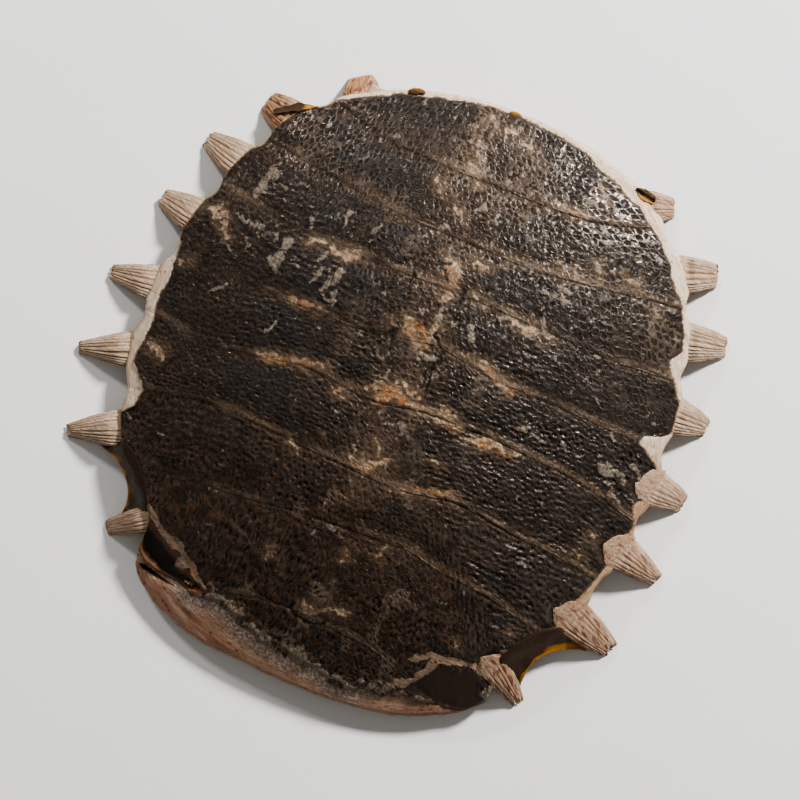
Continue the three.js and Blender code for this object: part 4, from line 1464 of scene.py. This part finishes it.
def bone_group():
    """Dry porous bone: grooves and pores run along the second coordinate of Grain."""
    found = bpy.data.node_groups.get("Dry bone")
    if found:
        return found
    group, sheet, given = new_group(
        "Dry bone",
        [("Place", "vector", None), ("Grain", "vector", None), ("Bone", "colour", (0.6, 0.5, 0.4)),
         ("Pore", "colour", (0.2, 0.1, 0.05)), ("Open", "value", 0.5), ("Warmth", "value", 0.3)],
        [("Colour", "colour"), ("Roughness", "value"), ("Height", "value")],
    )
    long = sheet.stretched(given["Grain"], 1, 0.12)
    strands = sheet.noise(long, 2.6, 4, 0.62)
    hairs = sheet.noise(sheet.stretched(given["Grain"], 1, 0.08), 7, 3, 0.6)
    specks = sheet.cells(sheet.stretched(given["Grain"], 1, 0.4), 1.7)
    pores = sheet.times(sheet.rise(specks, 0.36, 0.16), sheet.rise(strands, 0.42, 0.56))
    tint = sheet.noise(given["Place"], 0.32, 4, 0.6)
    mottle = sheet.noise(given["Place"], 2.8, 4, 0.65)
    dark = sheet.mix(0.5, given["Bone"], given["Pore"])
    colour = sheet.mix(sheet.rise(mottle, 0.4, 0.75, 0, 0.35), given["Bone"], dark)
    grooved = sheet.times(sheet.rise(strands, 0.56, 0.38), given["Open"])
    colour = sheet.mix(sheet.times(grooved, 0.6), colour, given["Pore"])
    warm = sheet.times(sheet.rise(tint, 0.42, 0.7), given["Warmth"])
    colour = sheet.mix(warm, colour, WARM_BONE)
    colour = sheet.mix(sheet.times(pores, given["Open"]), colour, given["Pore"])
    hairline = sheet.times(sheet.rise(hairs, 0.58, 0.4), given["Open"])
    colour = sheet.mix(sheet.times(hairline, 0.35), colour, given["Pore"])
    low = sheet.plus(sheet.times(pores, -0.7), sheet.times(grooved, -0.5))
    low = sheet.plus(low, sheet.times(mottle, 0.25))
    low = sheet.plus(low, sheet.times(hairline, -0.35))
    rough = sheet.rise(mottle, 0.2, 0.8, 0.5, 0.78)
    close_group(sheet, {"Colour": colour, "Roughness": rough, "Height": low})
    return group


def skin_group():
    """Dried pitted skin: the net is raised and glossy, and its pits and the grooves round its beads
    are painted dark, partly the skin's own darker colour and partly painted shade.
    """
    found = bpy.data.node_groups.get("Dried skin")
    if found:
        return found
    group, sheet, given = new_group(
        "Dried skin",
        [("Place", "vector", None), ("Lie", "vector", None), ("Net", "value", 0.5),
         ("Crust", "value", 0.0), ("Worn", "value", 0.0), ("Blue", "value", 0.0),
         ("Ring", "vector", None), ("Bold", "value", 0.0),
         ("Ridge", "colour", (0.07, 0.05, 0.04)), ("Pit", "colour", (0.01, 0.01, 0.01)),
         ("Thin", "colour", (0.17, 0.12, 0.08))],
        [("Colour", "colour"), ("Roughness", "value"), ("Height", "value")],
    )
    place, pitted = given["Place"], given["Net"]
    lie = sheet.stretched(given["Lie"], 1, 1.1, 0)
    grit = sheet.noise(place, 2.6, 5, 0.68)
    fleck = sheet.minus(grit, 0.5)
    drift = sheet.noise(place, 0.1, 4, 0.6)
    patch = sheet.noise(place, 0.4, 5, 0.62)
    blotch = sheet.noise(place, 0.26, 5, 0.66)
    winding = sheet.noise(place, 0.92, 2, 0.5, 0.5)
    off = sheet.sum("ABSOLUTE", sheet.minus(winding, 0.5))
    worm = sheet.rise(off, 0.11, 0)
    edge = sheet.cells(lie, 0.82, "DISTANCE_TO_EDGE", 0.75)
    bead = sheet.rise(edge, 0.02, 0.32)
    groove = sheet.rise(edge, 0.09, 0.02)
    net = sheet.plus(sheet.times(pitted, 0.5), sheet.times(worm, 0.32))
    net = sheet.plus(net, sheet.times(bead, 0.22))
    ring = sheet.stretched(given["Ring"], 1, 1, 0)
    comb = sheet.cells(ring, 1, "DISTANCE_TO_EDGE", 0.6)
    comb = sheet.plus(comb, sheet.times(fleck, 0.28))
    wall = sheet.rise(comb, 0.27, 0.06)
    rowed = sheet.plus(sheet.times(pitted, 0.25), sheet.times(wall, 0.72))
    bold = sheet.times(given["Bold"], 0.85)
    net = sheet.between(bold, net, rowed)
    net = sheet.plus(net, sheet.times(fleck, 0.7), clamp=True)
    brown = sheet.mix(sheet.rise(drift, 0.38, 0.62), given["Ridge"], BROWN_RIDGE)
    # Blue: the skin's own blue-black blocks, and a painted sheen on the right and tail side.
    ridge = sheet.mix(given["Blue"], brown, BLUE_RIDGE_AND_SHEEN)
    pit = sheet.mix(given["Blue"], given["Pit"], BLUE_PIT_SHEEN_AND_SHADE)
    # Painted shade: the pits are much darker than the raised net, partly the skin's own colour and
    # partly the shade down in them.
    colour = sheet.mix(sheet.rise(net, 0.28, 0.85), pit, ridge)
    shade = sheet.rise(sheet.plus(blotch, sheet.times(fleck, 0.3)), 0.5, 0.42)
    colour = sheet.tinted(shade, colour, BLOTCH_SHADE)
    dust = sheet.mix(sheet.rise(patch, 0.4, 0.62), DUST_LIGHT, DUST_DARK)
    # Painted shade down in the pits of the crust.
    dust = sheet.mix(sheet.rise(net, 0.62, 0.25, 0, 0.9), dust, DUST_PIT_SHADE)
    rag = sheet.plus(sheet.times(sheet.minus(patch, 0.5), 1.5), sheet.times(fleck, 1.3))
    dusty = sheet.rise(sheet.plus(given["Crust"], rag), 0.46, 0.8, 0, 0.7)
    colour = sheet.mix(dusty, colour, dust)
    thin = sheet.mix(sheet.rise(patch, 0.4, 0.66), given["Thin"], THIN_DARK)
    # Painted shade down in the pits of the worn skin.
    thin = sheet.mix(sheet.rise(net, 0.62, 0.25, 0, 0.88), thin, THIN_PIT_SHADE)
    rubbed = sheet.rise(sheet.plus(given["Worn"], rag), 0.36, 0.85, 0, 0.8)
    colour = sheet.mix(rubbed, colour, thin)
    # Painted shade: near-black down the narrow grooves round the beads.
    colour = sheet.mix(sheet.times(groove, 0.55), colour, GROOVE_PAINTED_SHADE)
    speck = sheet.rise(sheet.noise(place, 3.2, 2, 0.5), 0.67, 0.75, 0, 0.7)
    colour = sheet.mix(speck, colour, SPECK_PALE)
    shine = sheet.rise(patch, 0.35, 0.65, 0.22, 0.31)
    shine = sheet.plus(shine, sheet.rise(net, 0.72, 0.3, 0, 0.5))
    shine = sheet.plus(shine, sheet.times(rubbed, 0.1))
    shine = sheet.plus(shine, sheet.times(dusty, 0.24))
    shine = sheet.plus(shine, sheet.times(groove, 0.3), clamp=True)
    high = sheet.plus(sheet.times(worm, 0.45), sheet.times(bead, 0.55))
    high = sheet.between(bold, high, sheet.times(wall, 1.35))
    high = sheet.plus(high, sheet.times(grit, 0.25))
    close_group(sheet, {"Colour": colour, "Roughness": shine, "Height": high})
    return group


def film_group():
    """Dried membrane, glassy and dark where thick and amber where thin."""
    found = bpy.data.node_groups.get("Dried film")
    if found:
        return found
    group, sheet, given = new_group(
        "Dried film",
        [("Place", "vector", None), ("Thin", "value", 0.0), ("Amber", "colour", (0.4, 0.2, 0.03)),
         ("Thick", "colour", (0.04, 0.03, 0.01))],
        [("Colour", "colour"), ("Roughness", "value"), ("Height", "value")],
    )
    cloud = sheet.noise(given["Place"], 0.7, 4, 0.6)
    wrinkle = sheet.noise(given["Place"], 1.6, 5, 0.7, 0.8)
    varied = sheet.times(given["Thin"], sheet.rise(cloud, 0.3, 0.7, -0.4, 0.4))
    share = sheet.plus(given["Thin"], varied, clamp=True)
    colour = sheet.mix(share, given["Thick"], given["Amber"])
    colour = sheet.mix(sheet.rise(wrinkle, 0.62, 0.8, 0, 0.35), colour, WRINKLE_BROWN)
    shine = sheet.rise(wrinkle, 0.3, 0.8, 0.24, 0.45)
    close_group(sheet, {"Colour": colour, "Roughness": shine, "Height": wrinkle})
    return group


def new_material(name):
    """A fresh material, its sheet and its shader."""
    material = bpy.data.materials.new(name)
    material.use_nodes = True
    tree = material.node_tree
    shader = tree.nodes["Principled BSDF"]
    shader.location = (2600, 0)
    tree.nodes["Material Output"].location = (2900, 0)
    return material, Sheet(tree), shader


def dress(sheet, shader, colour, roughness, height, relief, plain):
    """Joins colour, gloss and a fine bump of the given depth in millimetres to a shader, and
    sets its plain values."""
    sheet.feed(shader.inputs["Base Color"], colour)
    sheet.feed(shader.inputs["Roughness"], roughness)
    bump = sheet.add(
        "ShaderNodeBump", {"Strength": 1.0, "Distance": relief * MM, "Height": height}
    )
    sheet.feed(shader.inputs["Normal"], bump.outputs[0])
    for name, value in plain.items():
        shader.inputs[name].default_value = value


def skin_material(settings):
    """Skin, worn and stained by the attributes that read_surface gives."""
    material, sheet, shader = new_material("Dried skin")
    place = sheet.millimetres()
    right, tailward, _ = sheet.parts(place)
    window, lump, band = sheet.parts(sheet.attribute("cover"))
    pale, rust, grey = sheet.parts(sheet.attribute("patch"))
    seam, neural, crack = sheet.parts(sheet.attribute("lines"))
    net, crust, worn = sheet.parts(sheet.attribute("net"))
    lie, ring = sheet.attribute("place"), sheet.attribute("ring")
    blue, bold = sheet.parts(lie)[2], sheet.parts(ring)[2]
    inside, over_rim, head = sheet.parts(sheet.attribute("border"))
    tear = torn_edge_group()

    def torn(distance, ragged, soft, size):
        return sheet.use(tear, distance=distance, place=place, ragged=ragged, soft=soft, size=size)[0]

    skin = sheet.use(
        skin_group(), place=place, lie=lie, net=net, crust=crust, worn=worn, blue=blue,
        ring=ring, bold=bold, ridge=settings.ridge_colour, pit=settings.pit_colour_and_shade,
        thin=settings.worn_colour,
    )
    plain_grain = sheet.add("ShaderNodeCombineXYZ", {0: tailward, 1: right}).outputs[0]
    bare = sheet.use(
        bone_group(), place=place, grain=plain_grain, bone=STRIP_BONE,
        pore=STRIP_PORE, open=0.75, warmth=0.2,
    )
    # Painted shade: the film over the left opening is near-black, darker than the membrane's own dark
    # brown on the right, for the shade in the hollow under it.
    film_tone_and_shade = sheet.mix(sheet.rise(right, -5, 5), LEFT_FILM_PAINTED_SHADE, RIGHT_FILM)
    film = sheet.use(film_group(), place=place, thin=0.0, amber=FILM_AMBER, thick=film_tone_and_shade)
    colour, rough, high = skin
    # Painted light: the skin's colour is made brighter towards the head and darker towards the tail.
    level = sheet.rise(tailward, -34, 4, 1.4, 0.8)
    light = sheet.add("ShaderNodeCombineColor", {0: level, 1: level, 2: level}).outputs[0]
    colour = sheet.mix(1, colour, light, "MULTIPLY")

    # Pale, grey and rusty patches.
    cloudy = sheet.noise(place, 1, 5, 0.68)
    streaks = sheet.noise(sheet.stretched(lie, 1.6, 0.55), 1.5, 4, 0.6)
    halo = sheet.times(torn(sheet.plus(pale, 0.9), 2.4, 1, 0.7), 0.42)
    colour = sheet.mix(halo, colour, HALO_BROWN)
    gritty = sheet.noise(place, 2.4, 5, 0.7)
    dents = sheet.rise(gritty, 0.38, 0.5, 0.5, 1)
    pale_mask = torn(pale, 1.5, 0.14, 1.4)
    pale_mask = sheet.times(pale_mask, sheet.rise(cloudy, 0.32, 0.48, 0.4, 1))
    pale_mask = sheet.times(pale_mask, dents)
    pale_tone = sheet.mix(sheet.rise(cloudy, 0.46, 0.64), PALE_DARK, settings.pale_colour)
    colour = sheet.mix(pale_mask, colour, pale_tone)
    rust_mask = torn(rust, 2.0, 0.8, 0.9)
    rust_mask = sheet.times(rust_mask, sheet.rise(streaks, 0.3, 0.6, 0.3, 0.9))
    rust_tone = sheet.mix(sheet.rise(streaks, 0.5, 0.66), settings.rust_colour, RUST_DARK)
    colour = sheet.mix(rust_mask, colour, rust_tone)
    grey_mask = torn(grey, 1.2, 0.1, 2.0)
    grey_mask = sheet.times(grey_mask, sheet.rise(cloudy, 0.32, 0.5, 0.4, 0.95))
    grey_mask = sheet.times(grey_mask, dents)
    grey_tone = sheet.mix(sheet.rise(streaks, 0.4, 0.62), settings.grey_colour, GREY_DARK)
    colour = sheet.mix(grey_mask, colour, grey_tone)
    smoothed = sheet.sum("MAXIMUM", pale_mask, grey_mask)
    rough = sheet.between(smoothed, rough, 0.55)

    # Seams: a thin dark line that comes and goes, with a paler lip on its tail side.
    wobble = sheet.times(sheet.minus(sheet.noise(place, 1.2, 4, 0.6), 0.5), 0.7)
    shifted = sheet.plus(seam, wobble)
    off = sheet.sum("ABSOLUTE", shifted)
    fade = sheet.rise(sheet.noise(place, 0.13, 3), 0.38, 0.54, 0.45, 1)
    fade = sheet.times(fade, sheet.rise(right, -24, 4, 0.45, 1))
    combed = sheet.noise(sheet.stretched(lie, 2.6, 0.3), 1, 3, 0.5)
    comb = sheet.times(band, sheet.rise(combed, 0.36, 0.62, 0.3, 0.8))
    colour = sheet.mix(comb, colour, SEAM_BAND)
    colour = sheet.mix(sheet.times(sheet.rise(off, 0.2, 0.07), fade), colour, SEAM_BLACK_AND_SLIT_SHADE)
    lip = sheet.rise(sheet.sum("ABSOLUTE", sheet.minus(shifted, 0.25)), 0.13, 0.04)
    some_lip = sheet.rise(sheet.noise(place, 0.17, 3), 0.5, 0.66, 0, 0.7)
    some_lip = sheet.times(some_lip, sheet.rise(right, -24, 4, 0.35, 1))
    colour = sheet.mix(sheet.times(lip, some_lip), colour, SEAM_LIP)
    thread = sheet.rise(sheet.plus(neural, sheet.times(wobble, 0.5)), 0.17, 0.05, 0, 0.5)
    colour = sheet.mix(thread, colour, THREAD_DARK)
    colour = sheet.mix(sheet.rise(crack, 0.36, 0.16), colour, CRACK_BLACK)

    # Films over the two openings, ragged bone beside them and the torn edge.
    filmed = torn(window, 0.3, 0.15, 1.0)
    colour = sheet.mix(filmed, colour, film[0])
    rough = sheet.between(filmed, rough, sheet.plus(film[1], 0.12))
    high = sheet.between(filmed, high, film[2])
    ledge = sheet.times(sheet.rise(window, -1.2, -0.5), sheet.rise(window, 0.75, 0.35))
    ledge = sheet.times(ledge, sheet.rise(right, -14, -18))
    colour = sheet.mix(ledge, colour, LEDGE_BROWN)
    rough = sheet.between(ledge, rough, 0.75)
    lumped = torn(lump, 0.7, 0.1, 1.6)
    colour = sheet.mix(lumped, colour, bare[0])
    rough = sheet.between(lumped, rough, bare[1])
    high = sheet.between(lumped, high, bare[2])
    brink = torn(sheet.minus(0.16, inside), 0.34, 0.12, 1.1)
    brink_tone = sheet.mix(sheet.rise(over_rim, -0.3, 0.1), EDGE_BROWN, EDGE_GOLD)
    brink_tone = sheet.mix(head, brink_tone, EDGE_HEAD)
    some = sheet.rise(sheet.noise(place, 0.35, 3), 0.36, 0.6, 0.15, 0.85)
    brink = sheet.times(brink, some)
    colour = sheet.mix(brink, colour, brink_tone)
    rough = sheet.between(sheet.times(brink, 1.4, clamp=True), rough, 0.62)
    plain = {"Specular IOR Level": 0.45, "Specular Tint": SKIN_GLOSS}
    dress(sheet, shader, colour, rough, high, SKIN_RELIEF, plain)
    return material


def bone_shield_material(settings):
    """Pale bone, tan and streaked at the head, with painted shade filling the slit at its left."""
    material, sheet, shader = new_material("Shield bone")
    place = sheet.millimetres()
    right, tailward, _ = sheet.parts(place)
    grain = sheet.attribute("grain")
    head, seam, inside = sheet.parts(sheet.attribute("tone"))
    slit, opened, _ = sheet.parts(sheet.attribute("slit"))
    bare = sheet.use(
        bone_group(), place=place, grain=grain, bone=settings.bone_colour,
        pore=settings.pore_colour, open=sheet.parts(grain)[2], warmth=0.35,
    )
    long = sheet.noise(sheet.stretched(grain, 1, 0.12), 0.8, 5, 0.65)
    tan = sheet.mix(sheet.rise(long, 0.42, 0.6), HEAD_TAN, HEAD_BROWN)
    streak = sheet.times(sheet.rise(long, 0.58, 0.68), sheet.rise(inside, -2.4, -1.2, 1, 0.2))
    streak = sheet.times(streak, sheet.rise(right, -8, -20, 0.25, 0.8))
    tan = sheet.mix(streak, tan, HEAD_STREAK)
    tan = sheet.mix(sheet.rise(right, 20, 30), tan, HEAD_END)
    colour = sheet.tinted(sheet.times(head, 0.9), bare[0], tan)

    # The warmer rim at the head's right, on the upper side only.
    side = sheet.times(sheet.rise(right, 33, 39), sheet.rise(tailward, 12, 5))
    side = sheet.times(side, sheet.rise(long, 0.3, 0.6, 0.6, 1))
    side = sheet.times(side, sheet.rise(inside, 1.2, 0.2))
    side = sheet.times(side, sheet.rise(inside, 1.0 - FAR, 2.0 - FAR))
    colour = sheet.tinted(side, colour, SIDE_TAN)
    spots = sheet.cells(sheet.stretched(grain, 1, 0.55), 0.8)
    spot = sheet.times(sheet.rise(spots, 0.26, 0.15), sheet.rise(long, 0.42, 0.52))
    colour = sheet.mix(sheet.times(spot, sheet.times(head, 0.85)), colour, SPOT_DARK)
    wobble = sheet.times(sheet.noise(place, 1.2, 4, 0.6), 0.3)
    line = sheet.rise(sheet.plus(seam, wobble), 0.32, 0.14, 0, 0.7)
    colour = sheet.mix(line, colour, settings.pore_colour)

    # A grey crumbly margin along the skin's torn edge at the head, and skin crumbs on it.
    margin = sheet.times(sheet.rise(inside, -4.6, -0.8), sheet.rise(head, 0.75, 1))
    margin = sheet.times(margin, sheet.rise(right, -27, -20))
    margin = sheet.times(margin, sheet.rise(right, 20, 13, 0.25, 1))
    cloudy = sheet.noise(place, 0.5, 4, 0.6)
    margin = sheet.times(margin, sheet.rise(cloudy, 0.36, 0.56, 0.25, 0.95))
    grit = sheet.noise(place, 1.9, 5, 0.7)
    ashy = sheet.mix(sheet.rise(grit, 0.42, 0.6), ASH_DARK, ASH_PALE)
    colour = sheet.mix(margin, colour, ashy)
    crumb = sheet.use(
        torn_edge_group(), distance=sheet.plus(inside, 0.1), place=place, ragged=1.9,
        soft=0.15, size=1.5,
    )[0]
    colour = sheet.mix(sheet.times(crumb, 0.85), colour, CRUMB_DARK)
    # Painted shade: the slit at the head's left is painted black, standing for the dark of the open
    # gap.
    reach = sheet.minus(sheet.times(opened, 0.5), sheet.sum("ABSOLUTE", slit))
    colour = sheet.mix(sheet.rise(reach, -0.08, 0.06), colour, SEAM_BLACK_AND_SLIT_SHADE)
    plain = {"Specular IOR Level": 0.35}
    dress(sheet, shader, colour, bare[1], bare[2], SHIELD_RELIEF, plain)
    return material


def rib_end_material(settings):
    """Fluted bone, stained amber on the left and pink on the right."""
    found = bpy.data.materials.get("Bare bone")
    if found:
        return found
    material, sheet, shader = new_material("Bare bone")
    place = sheet.millimetres()
    grain = sheet.attribute("grain")
    open_share = sheet.parts(grain)[2]
    furrow, stain, past = sheet.parts(sheet.attribute("tone"))
    bare = sheet.use(
        bone_group(), place=place, grain=grain, bone=settings.bone_colour,
        pore=settings.pore_colour, open=sheet.times(open_share, 0.8), warmth=0.2,
    )
    flow = sheet.noise(sheet.stretched(grain, 0.8, 0.16), 0.9, 4, 0.6)
    stained = sheet.times(stain, sheet.rise(flow, 0.36, 0.62, 0.35, 1), clamp=True)
    right = sheet.parts(place)[0]
    tint = sheet.mix(sheet.rise(right, -10, 10), RIB_AMBER, RIB_PINK)
    tinted = sheet.tinted(stained, bare[0], tint)
    depth = sheet.times(furrow, sheet.rise(flow, 0.3, 0.7, 0.65, 1), clamp=True)
    grains = sheet.noise(place, 2.2, 5, 0.7)
    dust = sheet.mix(sheet.rise(grains, 0.36, 0.6), RIB_DUST_DARK, RIB_DUST_PALE)
    dusty = sheet.tinted(sheet.rise(past, 0.12, -0.05), tinted, dust)
    dots = sheet.cells(sheet.stretched(grain, 1, 0.5), 1)
    dot = sheet.times(sheet.rise(dots, 0.44, 0.3), sheet.rise(flow, 0.34, 0.46))
    dot = sheet.times(dot, sheet.times(stain, 0.9, clamp=True))
    dusty = sheet.mix(1, dusty, RIB_SHADE, "MULTIPLY")
    dusty = sheet.mix(dot, dusty, DOT_DARK)
    colour = sheet.mix(sheet.times(depth, 0.8), dusty, FLUTE_DARK)
    worn_tip = sheet.times(sheet.rise(past, 0.85, 1.02), sheet.rise(flow, 0.4, 0.6, 0.1, 0.5))
    colour = sheet.mix(worn_tip, colour, TIP_BROWN)
    plain = {"Specular IOR Level": 0.4}
    dress(sheet, shader, colour, bare[1], bare[2], RIB_RELIEF, plain)
    return material


def film_material(settings):
    """The webs: dark membrane with an amber free edge."""
    found = bpy.data.materials.get("Amber membrane")
    if found:
        return found
    material, sheet, shader = new_material("Amber membrane")
    place = sheet.millimetres()
    free, past, _ = sheet.parts(sheet.attribute("film"))
    spread = sheet.rise(sheet.noise(place, 0.35, 3), 0.4, 0.6)
    thin = sheet.rise(free, sheet.between(spread, 0.2, 0.55), 0.06)
    thin = sheet.plus(thin, sheet.rise(past, 5.2, 8), clamp=True)
    near_rib = sheet.rise(sheet.parts(place)[0], 43.6, 45.2)
    spot = sheet.times(near_rib, sheet.rise(free, 1.5, 0.6))
    thin = sheet.sum("MAXIMUM", thin, spot)
    film = sheet.use(
        film_group(), place=place, thin=thin, amber=settings.amber_colour,
        thick=settings.film_colour,
    )
    plain = {
        "Transmission Weight": 0.25, "Specular IOR Level": 0.3, "Specular Tint": AMBER_GLOSS,
        "IOR": 1.45,
    }
    dress(sheet, shader, film[0], film[1], film[2], WEB_RELIEF, plain)
    return material


def scrap_material(settings):
    """Loose skin, amber where it is thin or lifted."""
    found = bpy.data.materials.get("Loose skin")
    if found:
        return found
    material, sheet, shader = new_material("Loose skin")
    place = sheet.millimetres()
    lift = sheet.parts(sheet.attribute("film"))[0]
    film = sheet.use(
        film_group(), place=place, thin=sheet.rise(lift, 0.5, 1.3), amber=settings.amber_colour,
        thick=SCRAP_DARK,
    )
    pale = sheet.rise(sheet.noise(place, 1.1, 5, 0.65), 0.6, 0.72, 0, 0.35)
    colour = sheet.mix(pale, film[0], SCRAP_PALE)
    plain = {"Specular IOR Level": 0.25, "Specular Tint": AMBER_GLOSS}
    dress(sheet, shader, colour, sheet.plus(film[1], 0.26), film[2], SCRAP_RELIEF, plain)
    return material


# ------------------------------------------------------------------ stage
FLOOR_HALF = 2.0
FLOOR_ROUGHNESS = 0.7
CAMERA_AIM = (0.236, -0.327)  # right and up from the shell's middle in the picture
CAMERA_AIM_HEIGHT = 9.0
MAIN_LIGHT_WAY = (0.62, 0.62, 0.62)  # right, up and back of the camera
MAIN_LIGHT_FAR = 0.75
FILL_LIGHT_WAY = (-0.45, 0.8, 0.5)
FILL_LIGHT_FAR = 0.8
LIGHT_WIDTH = 0.12
SKY_STRENGTH = 0.24


def make_floor(settings):
    bm = bmesh.new()
    bmesh.ops.create_grid(bm, x_segments=2, y_segments=2, size=FLOOR_HALF)
    material, sheet, shader = new_material("Floor")
    place = sheet.add("ShaderNodeTexCoord").outputs["Object"]
    tone = sheet.rise(sheet.noise(place, 40.0, 3.0), 0.3, 0.7, 0.0, 0.03)
    colour = sheet.mix(tone, settings.floor_colour, FLOOR_DARK)
    sheet.feed(shader.inputs["Base Color"], colour)
    shader.inputs["Roughness"].default_value = FLOOR_ROUGHNESS
    floor = add_mesh(bm, "floor", material)


def camera_axes(settings):
    """Unit vectors to the right, up and back of the camera."""
    lean = math.tan(settings.camera_tilt)
    back = Vector((lean, lean, 1)).normalized()
    up = Vector((-math.sin(settings.camera_roll), math.cos(settings.camera_roll), 0))
    up = (up - back * up.dot(back)).normalized()
    return up.cross(back), up, back


def make_camera(settings):
    right, up, back = camera_axes(settings)
    data = bpy.data.cameras.new("camera")
    data.lens = settings.lens
    data.clip_start = 0.01
    data.clip_end = 20
    camera = add_object("camera", data)
    target = Vector(MIDDLE * MM) + Vector((0, 0, CAMERA_AIM_HEIGHT * MM))
    target += right * CAMERA_AIM[0] * MM + up * CAMERA_AIM[1] * MM
    turn = Matrix((right, up, back)).transposed().to_4x4()
    camera.matrix_world = Matrix.Translation(target + back * settings.camera_distance) @ turn
    bpy.context.scene.camera = camera


def make_light(name, power, place, target):
    """A round light at a place, turned towards the target."""
    data = bpy.data.lights.new(name, "AREA")
    data.energy = power
    data.shape = "DISK"
    data.size = LIGHT_WIDTH
    light = add_object(name, data)
    light.location = place
    light.rotation_mode = "QUATERNION"
    light.rotation_quaternion = (Vector(place) - Vector(target)).to_track_quat("Z", "Y")


def make_lights(settings):
    target = Vector((0, 0, 10 * MM))
    for name, power, way, far in (
        ("main_light", settings.key_power, MAIN_LIGHT_WAY, MAIN_LIGHT_FAR),
        ("fill_light", settings.fill_power, FILL_LIGHT_WAY, FILL_LIGHT_FAR),
    ):
        offset = Vector((0, 0, 0))
        for axis, share in zip(camera_axes(settings), way):
            offset += axis * share
        make_light(name, power, target + offset * far, target)
    world = bpy.data.worlds.new("studio")
    bpy.context.scene.world = world
    world.use_nodes = True
    background = world.node_tree.nodes["Background"]
    background.inputs["Color"].default_value = SKY
    background.inputs["Strength"].default_value = SKY_STRENGTH
    bpy.context.scene.view_settings.look = "AgX - Medium High Contrast"


# ------------------------------------------------------------------ operators
class TURTLE_OT_shield(Operator):
    """Build the bony shield"""

    bl_idname = "turtle.shield"
    bl_label = "Bony Shield"

    def execute(self, context):
        make_bone_shield(context.scene.turtle_bone)
        return {"FINISHED"}


class TURTLE_OT_skin(Operator):
    """Build the dried skin on the shield"""

    bl_idname = "turtle.skin"
    bl_label = "Dried Skin"

    def execute(self, context):
        make_skin(context.scene.turtle_skin)
        return {"FINISHED"}


class TURTLE_OT_rib_ends(Operator):
    """Build the rib ends that stand out past the rim"""

    bl_idname = "turtle.rib_ends"
    bl_label = "Rib Ends"

    def execute(self, context):
        make_rib_ends(context.scene.turtle_bone)
        return {"FINISHED"}


class TURTLE_OT_backbone(Operator):
    """Build the ribs and the backbone under the shield"""

    bl_idname = "turtle.backbone"
    bl_label = "Ribs and Backbone"

    def execute(self, context):
        make_backbone(context.scene.turtle_bone)
        return {"FINISHED"}


class TURTLE_OT_webs(Operator):
    """Build the dried membranes between the first two rib ends of each side"""

    bl_idname = "turtle.webs"
    bl_label = "Web Membranes"

    def execute(self, context):
        settings = context.scene.turtle_film
        make_web("right_web_membrane", RIGHT_WEB_INNER, RIGHT_WEB_OUTER, settings, 101)
        make_web("left_web_membrane", LEFT_WEB_INNER, LEFT_WEB_OUTER, settings, 102)
        return {"FINISHED"}


class TURTLE_OT_scraps(Operator):
    """Build the loose scraps of skin and the amber chips on the rim"""

    bl_idname = "turtle.scraps"
    bl_label = "Skin Scraps"

    def execute(self, context):
        settings = context.scene.turtle_film
        make_left_curl(settings)
        make_right_scrap(settings)
        make_chips(settings)
        return {"FINISHED"}


class TURTLE_OT_stage(Operator):
    """Set up the floor, the lights and the camera"""

    bl_idname = "turtle.stage"
    bl_label = "Stage"

    def execute(self, context):
        settings = context.scene.turtle_stage
        make_floor(settings)
        make_camera(settings)
        make_lights(settings)
        return {"FINISHED"}


OPERATORS = (
    TURTLE_OT_shield,
    TURTLE_OT_skin,
    TURTLE_OT_rib_ends,
    TURTLE_OT_backbone,
    TURTLE_OT_webs,
    TURTLE_OT_scraps,
    TURTLE_OT_stage,
)
SETTINGS = {
    "turtle_skin": SkinSettings,
    "turtle_bone": BoneSettings,
    "turtle_film": FilmSettings,
    "turtle_stage": StageSettings,
}


class TURTLE_PT_panel(Panel):
    """Sizes, colours and build steps of the turtle shell"""

    bl_idname = "TURTLE_PT_panel"
    bl_label = "Turtle Shell"
    bl_space_type = "VIEW_3D"
    bl_region_type = "UI"
    bl_category = "Turtle Shell"

    def draw(self, context):
        for operator in OPERATORS:
            self.layout.operator(operator.bl_idname)
        for key, kind in SETTINGS.items():
            box = self.layout.box()
            for name in kind.__annotations__:
                box.prop(getattr(context.scene, key), name)


CLASSES = (*SETTINGS.values(), *OPERATORS, TURTLE_PT_panel)


def register():
    for item in CLASSES:
        bpy.utils.register_class(item)
    for key, kind in SETTINGS.items():
        setattr(bpy.types.Scene, key, PointerProperty(type=kind))


def unregister():
    for key in SETTINGS:
        delattr(bpy.types.Scene, key)
    for item in reversed(CLASSES):
        bpy.utils.unregister_class(item)


def main():
    register()
    bpy.ops.turtle.shield()
    bpy.ops.turtle.skin()
    bpy.ops.turtle.rib_ends()
    bpy.ops.turtle.backbone()
    bpy.ops.turtle.webs()
    bpy.ops.turtle.scraps()
    bpy.ops.turtle.stage()


if __name__ == "__main__":
    main()
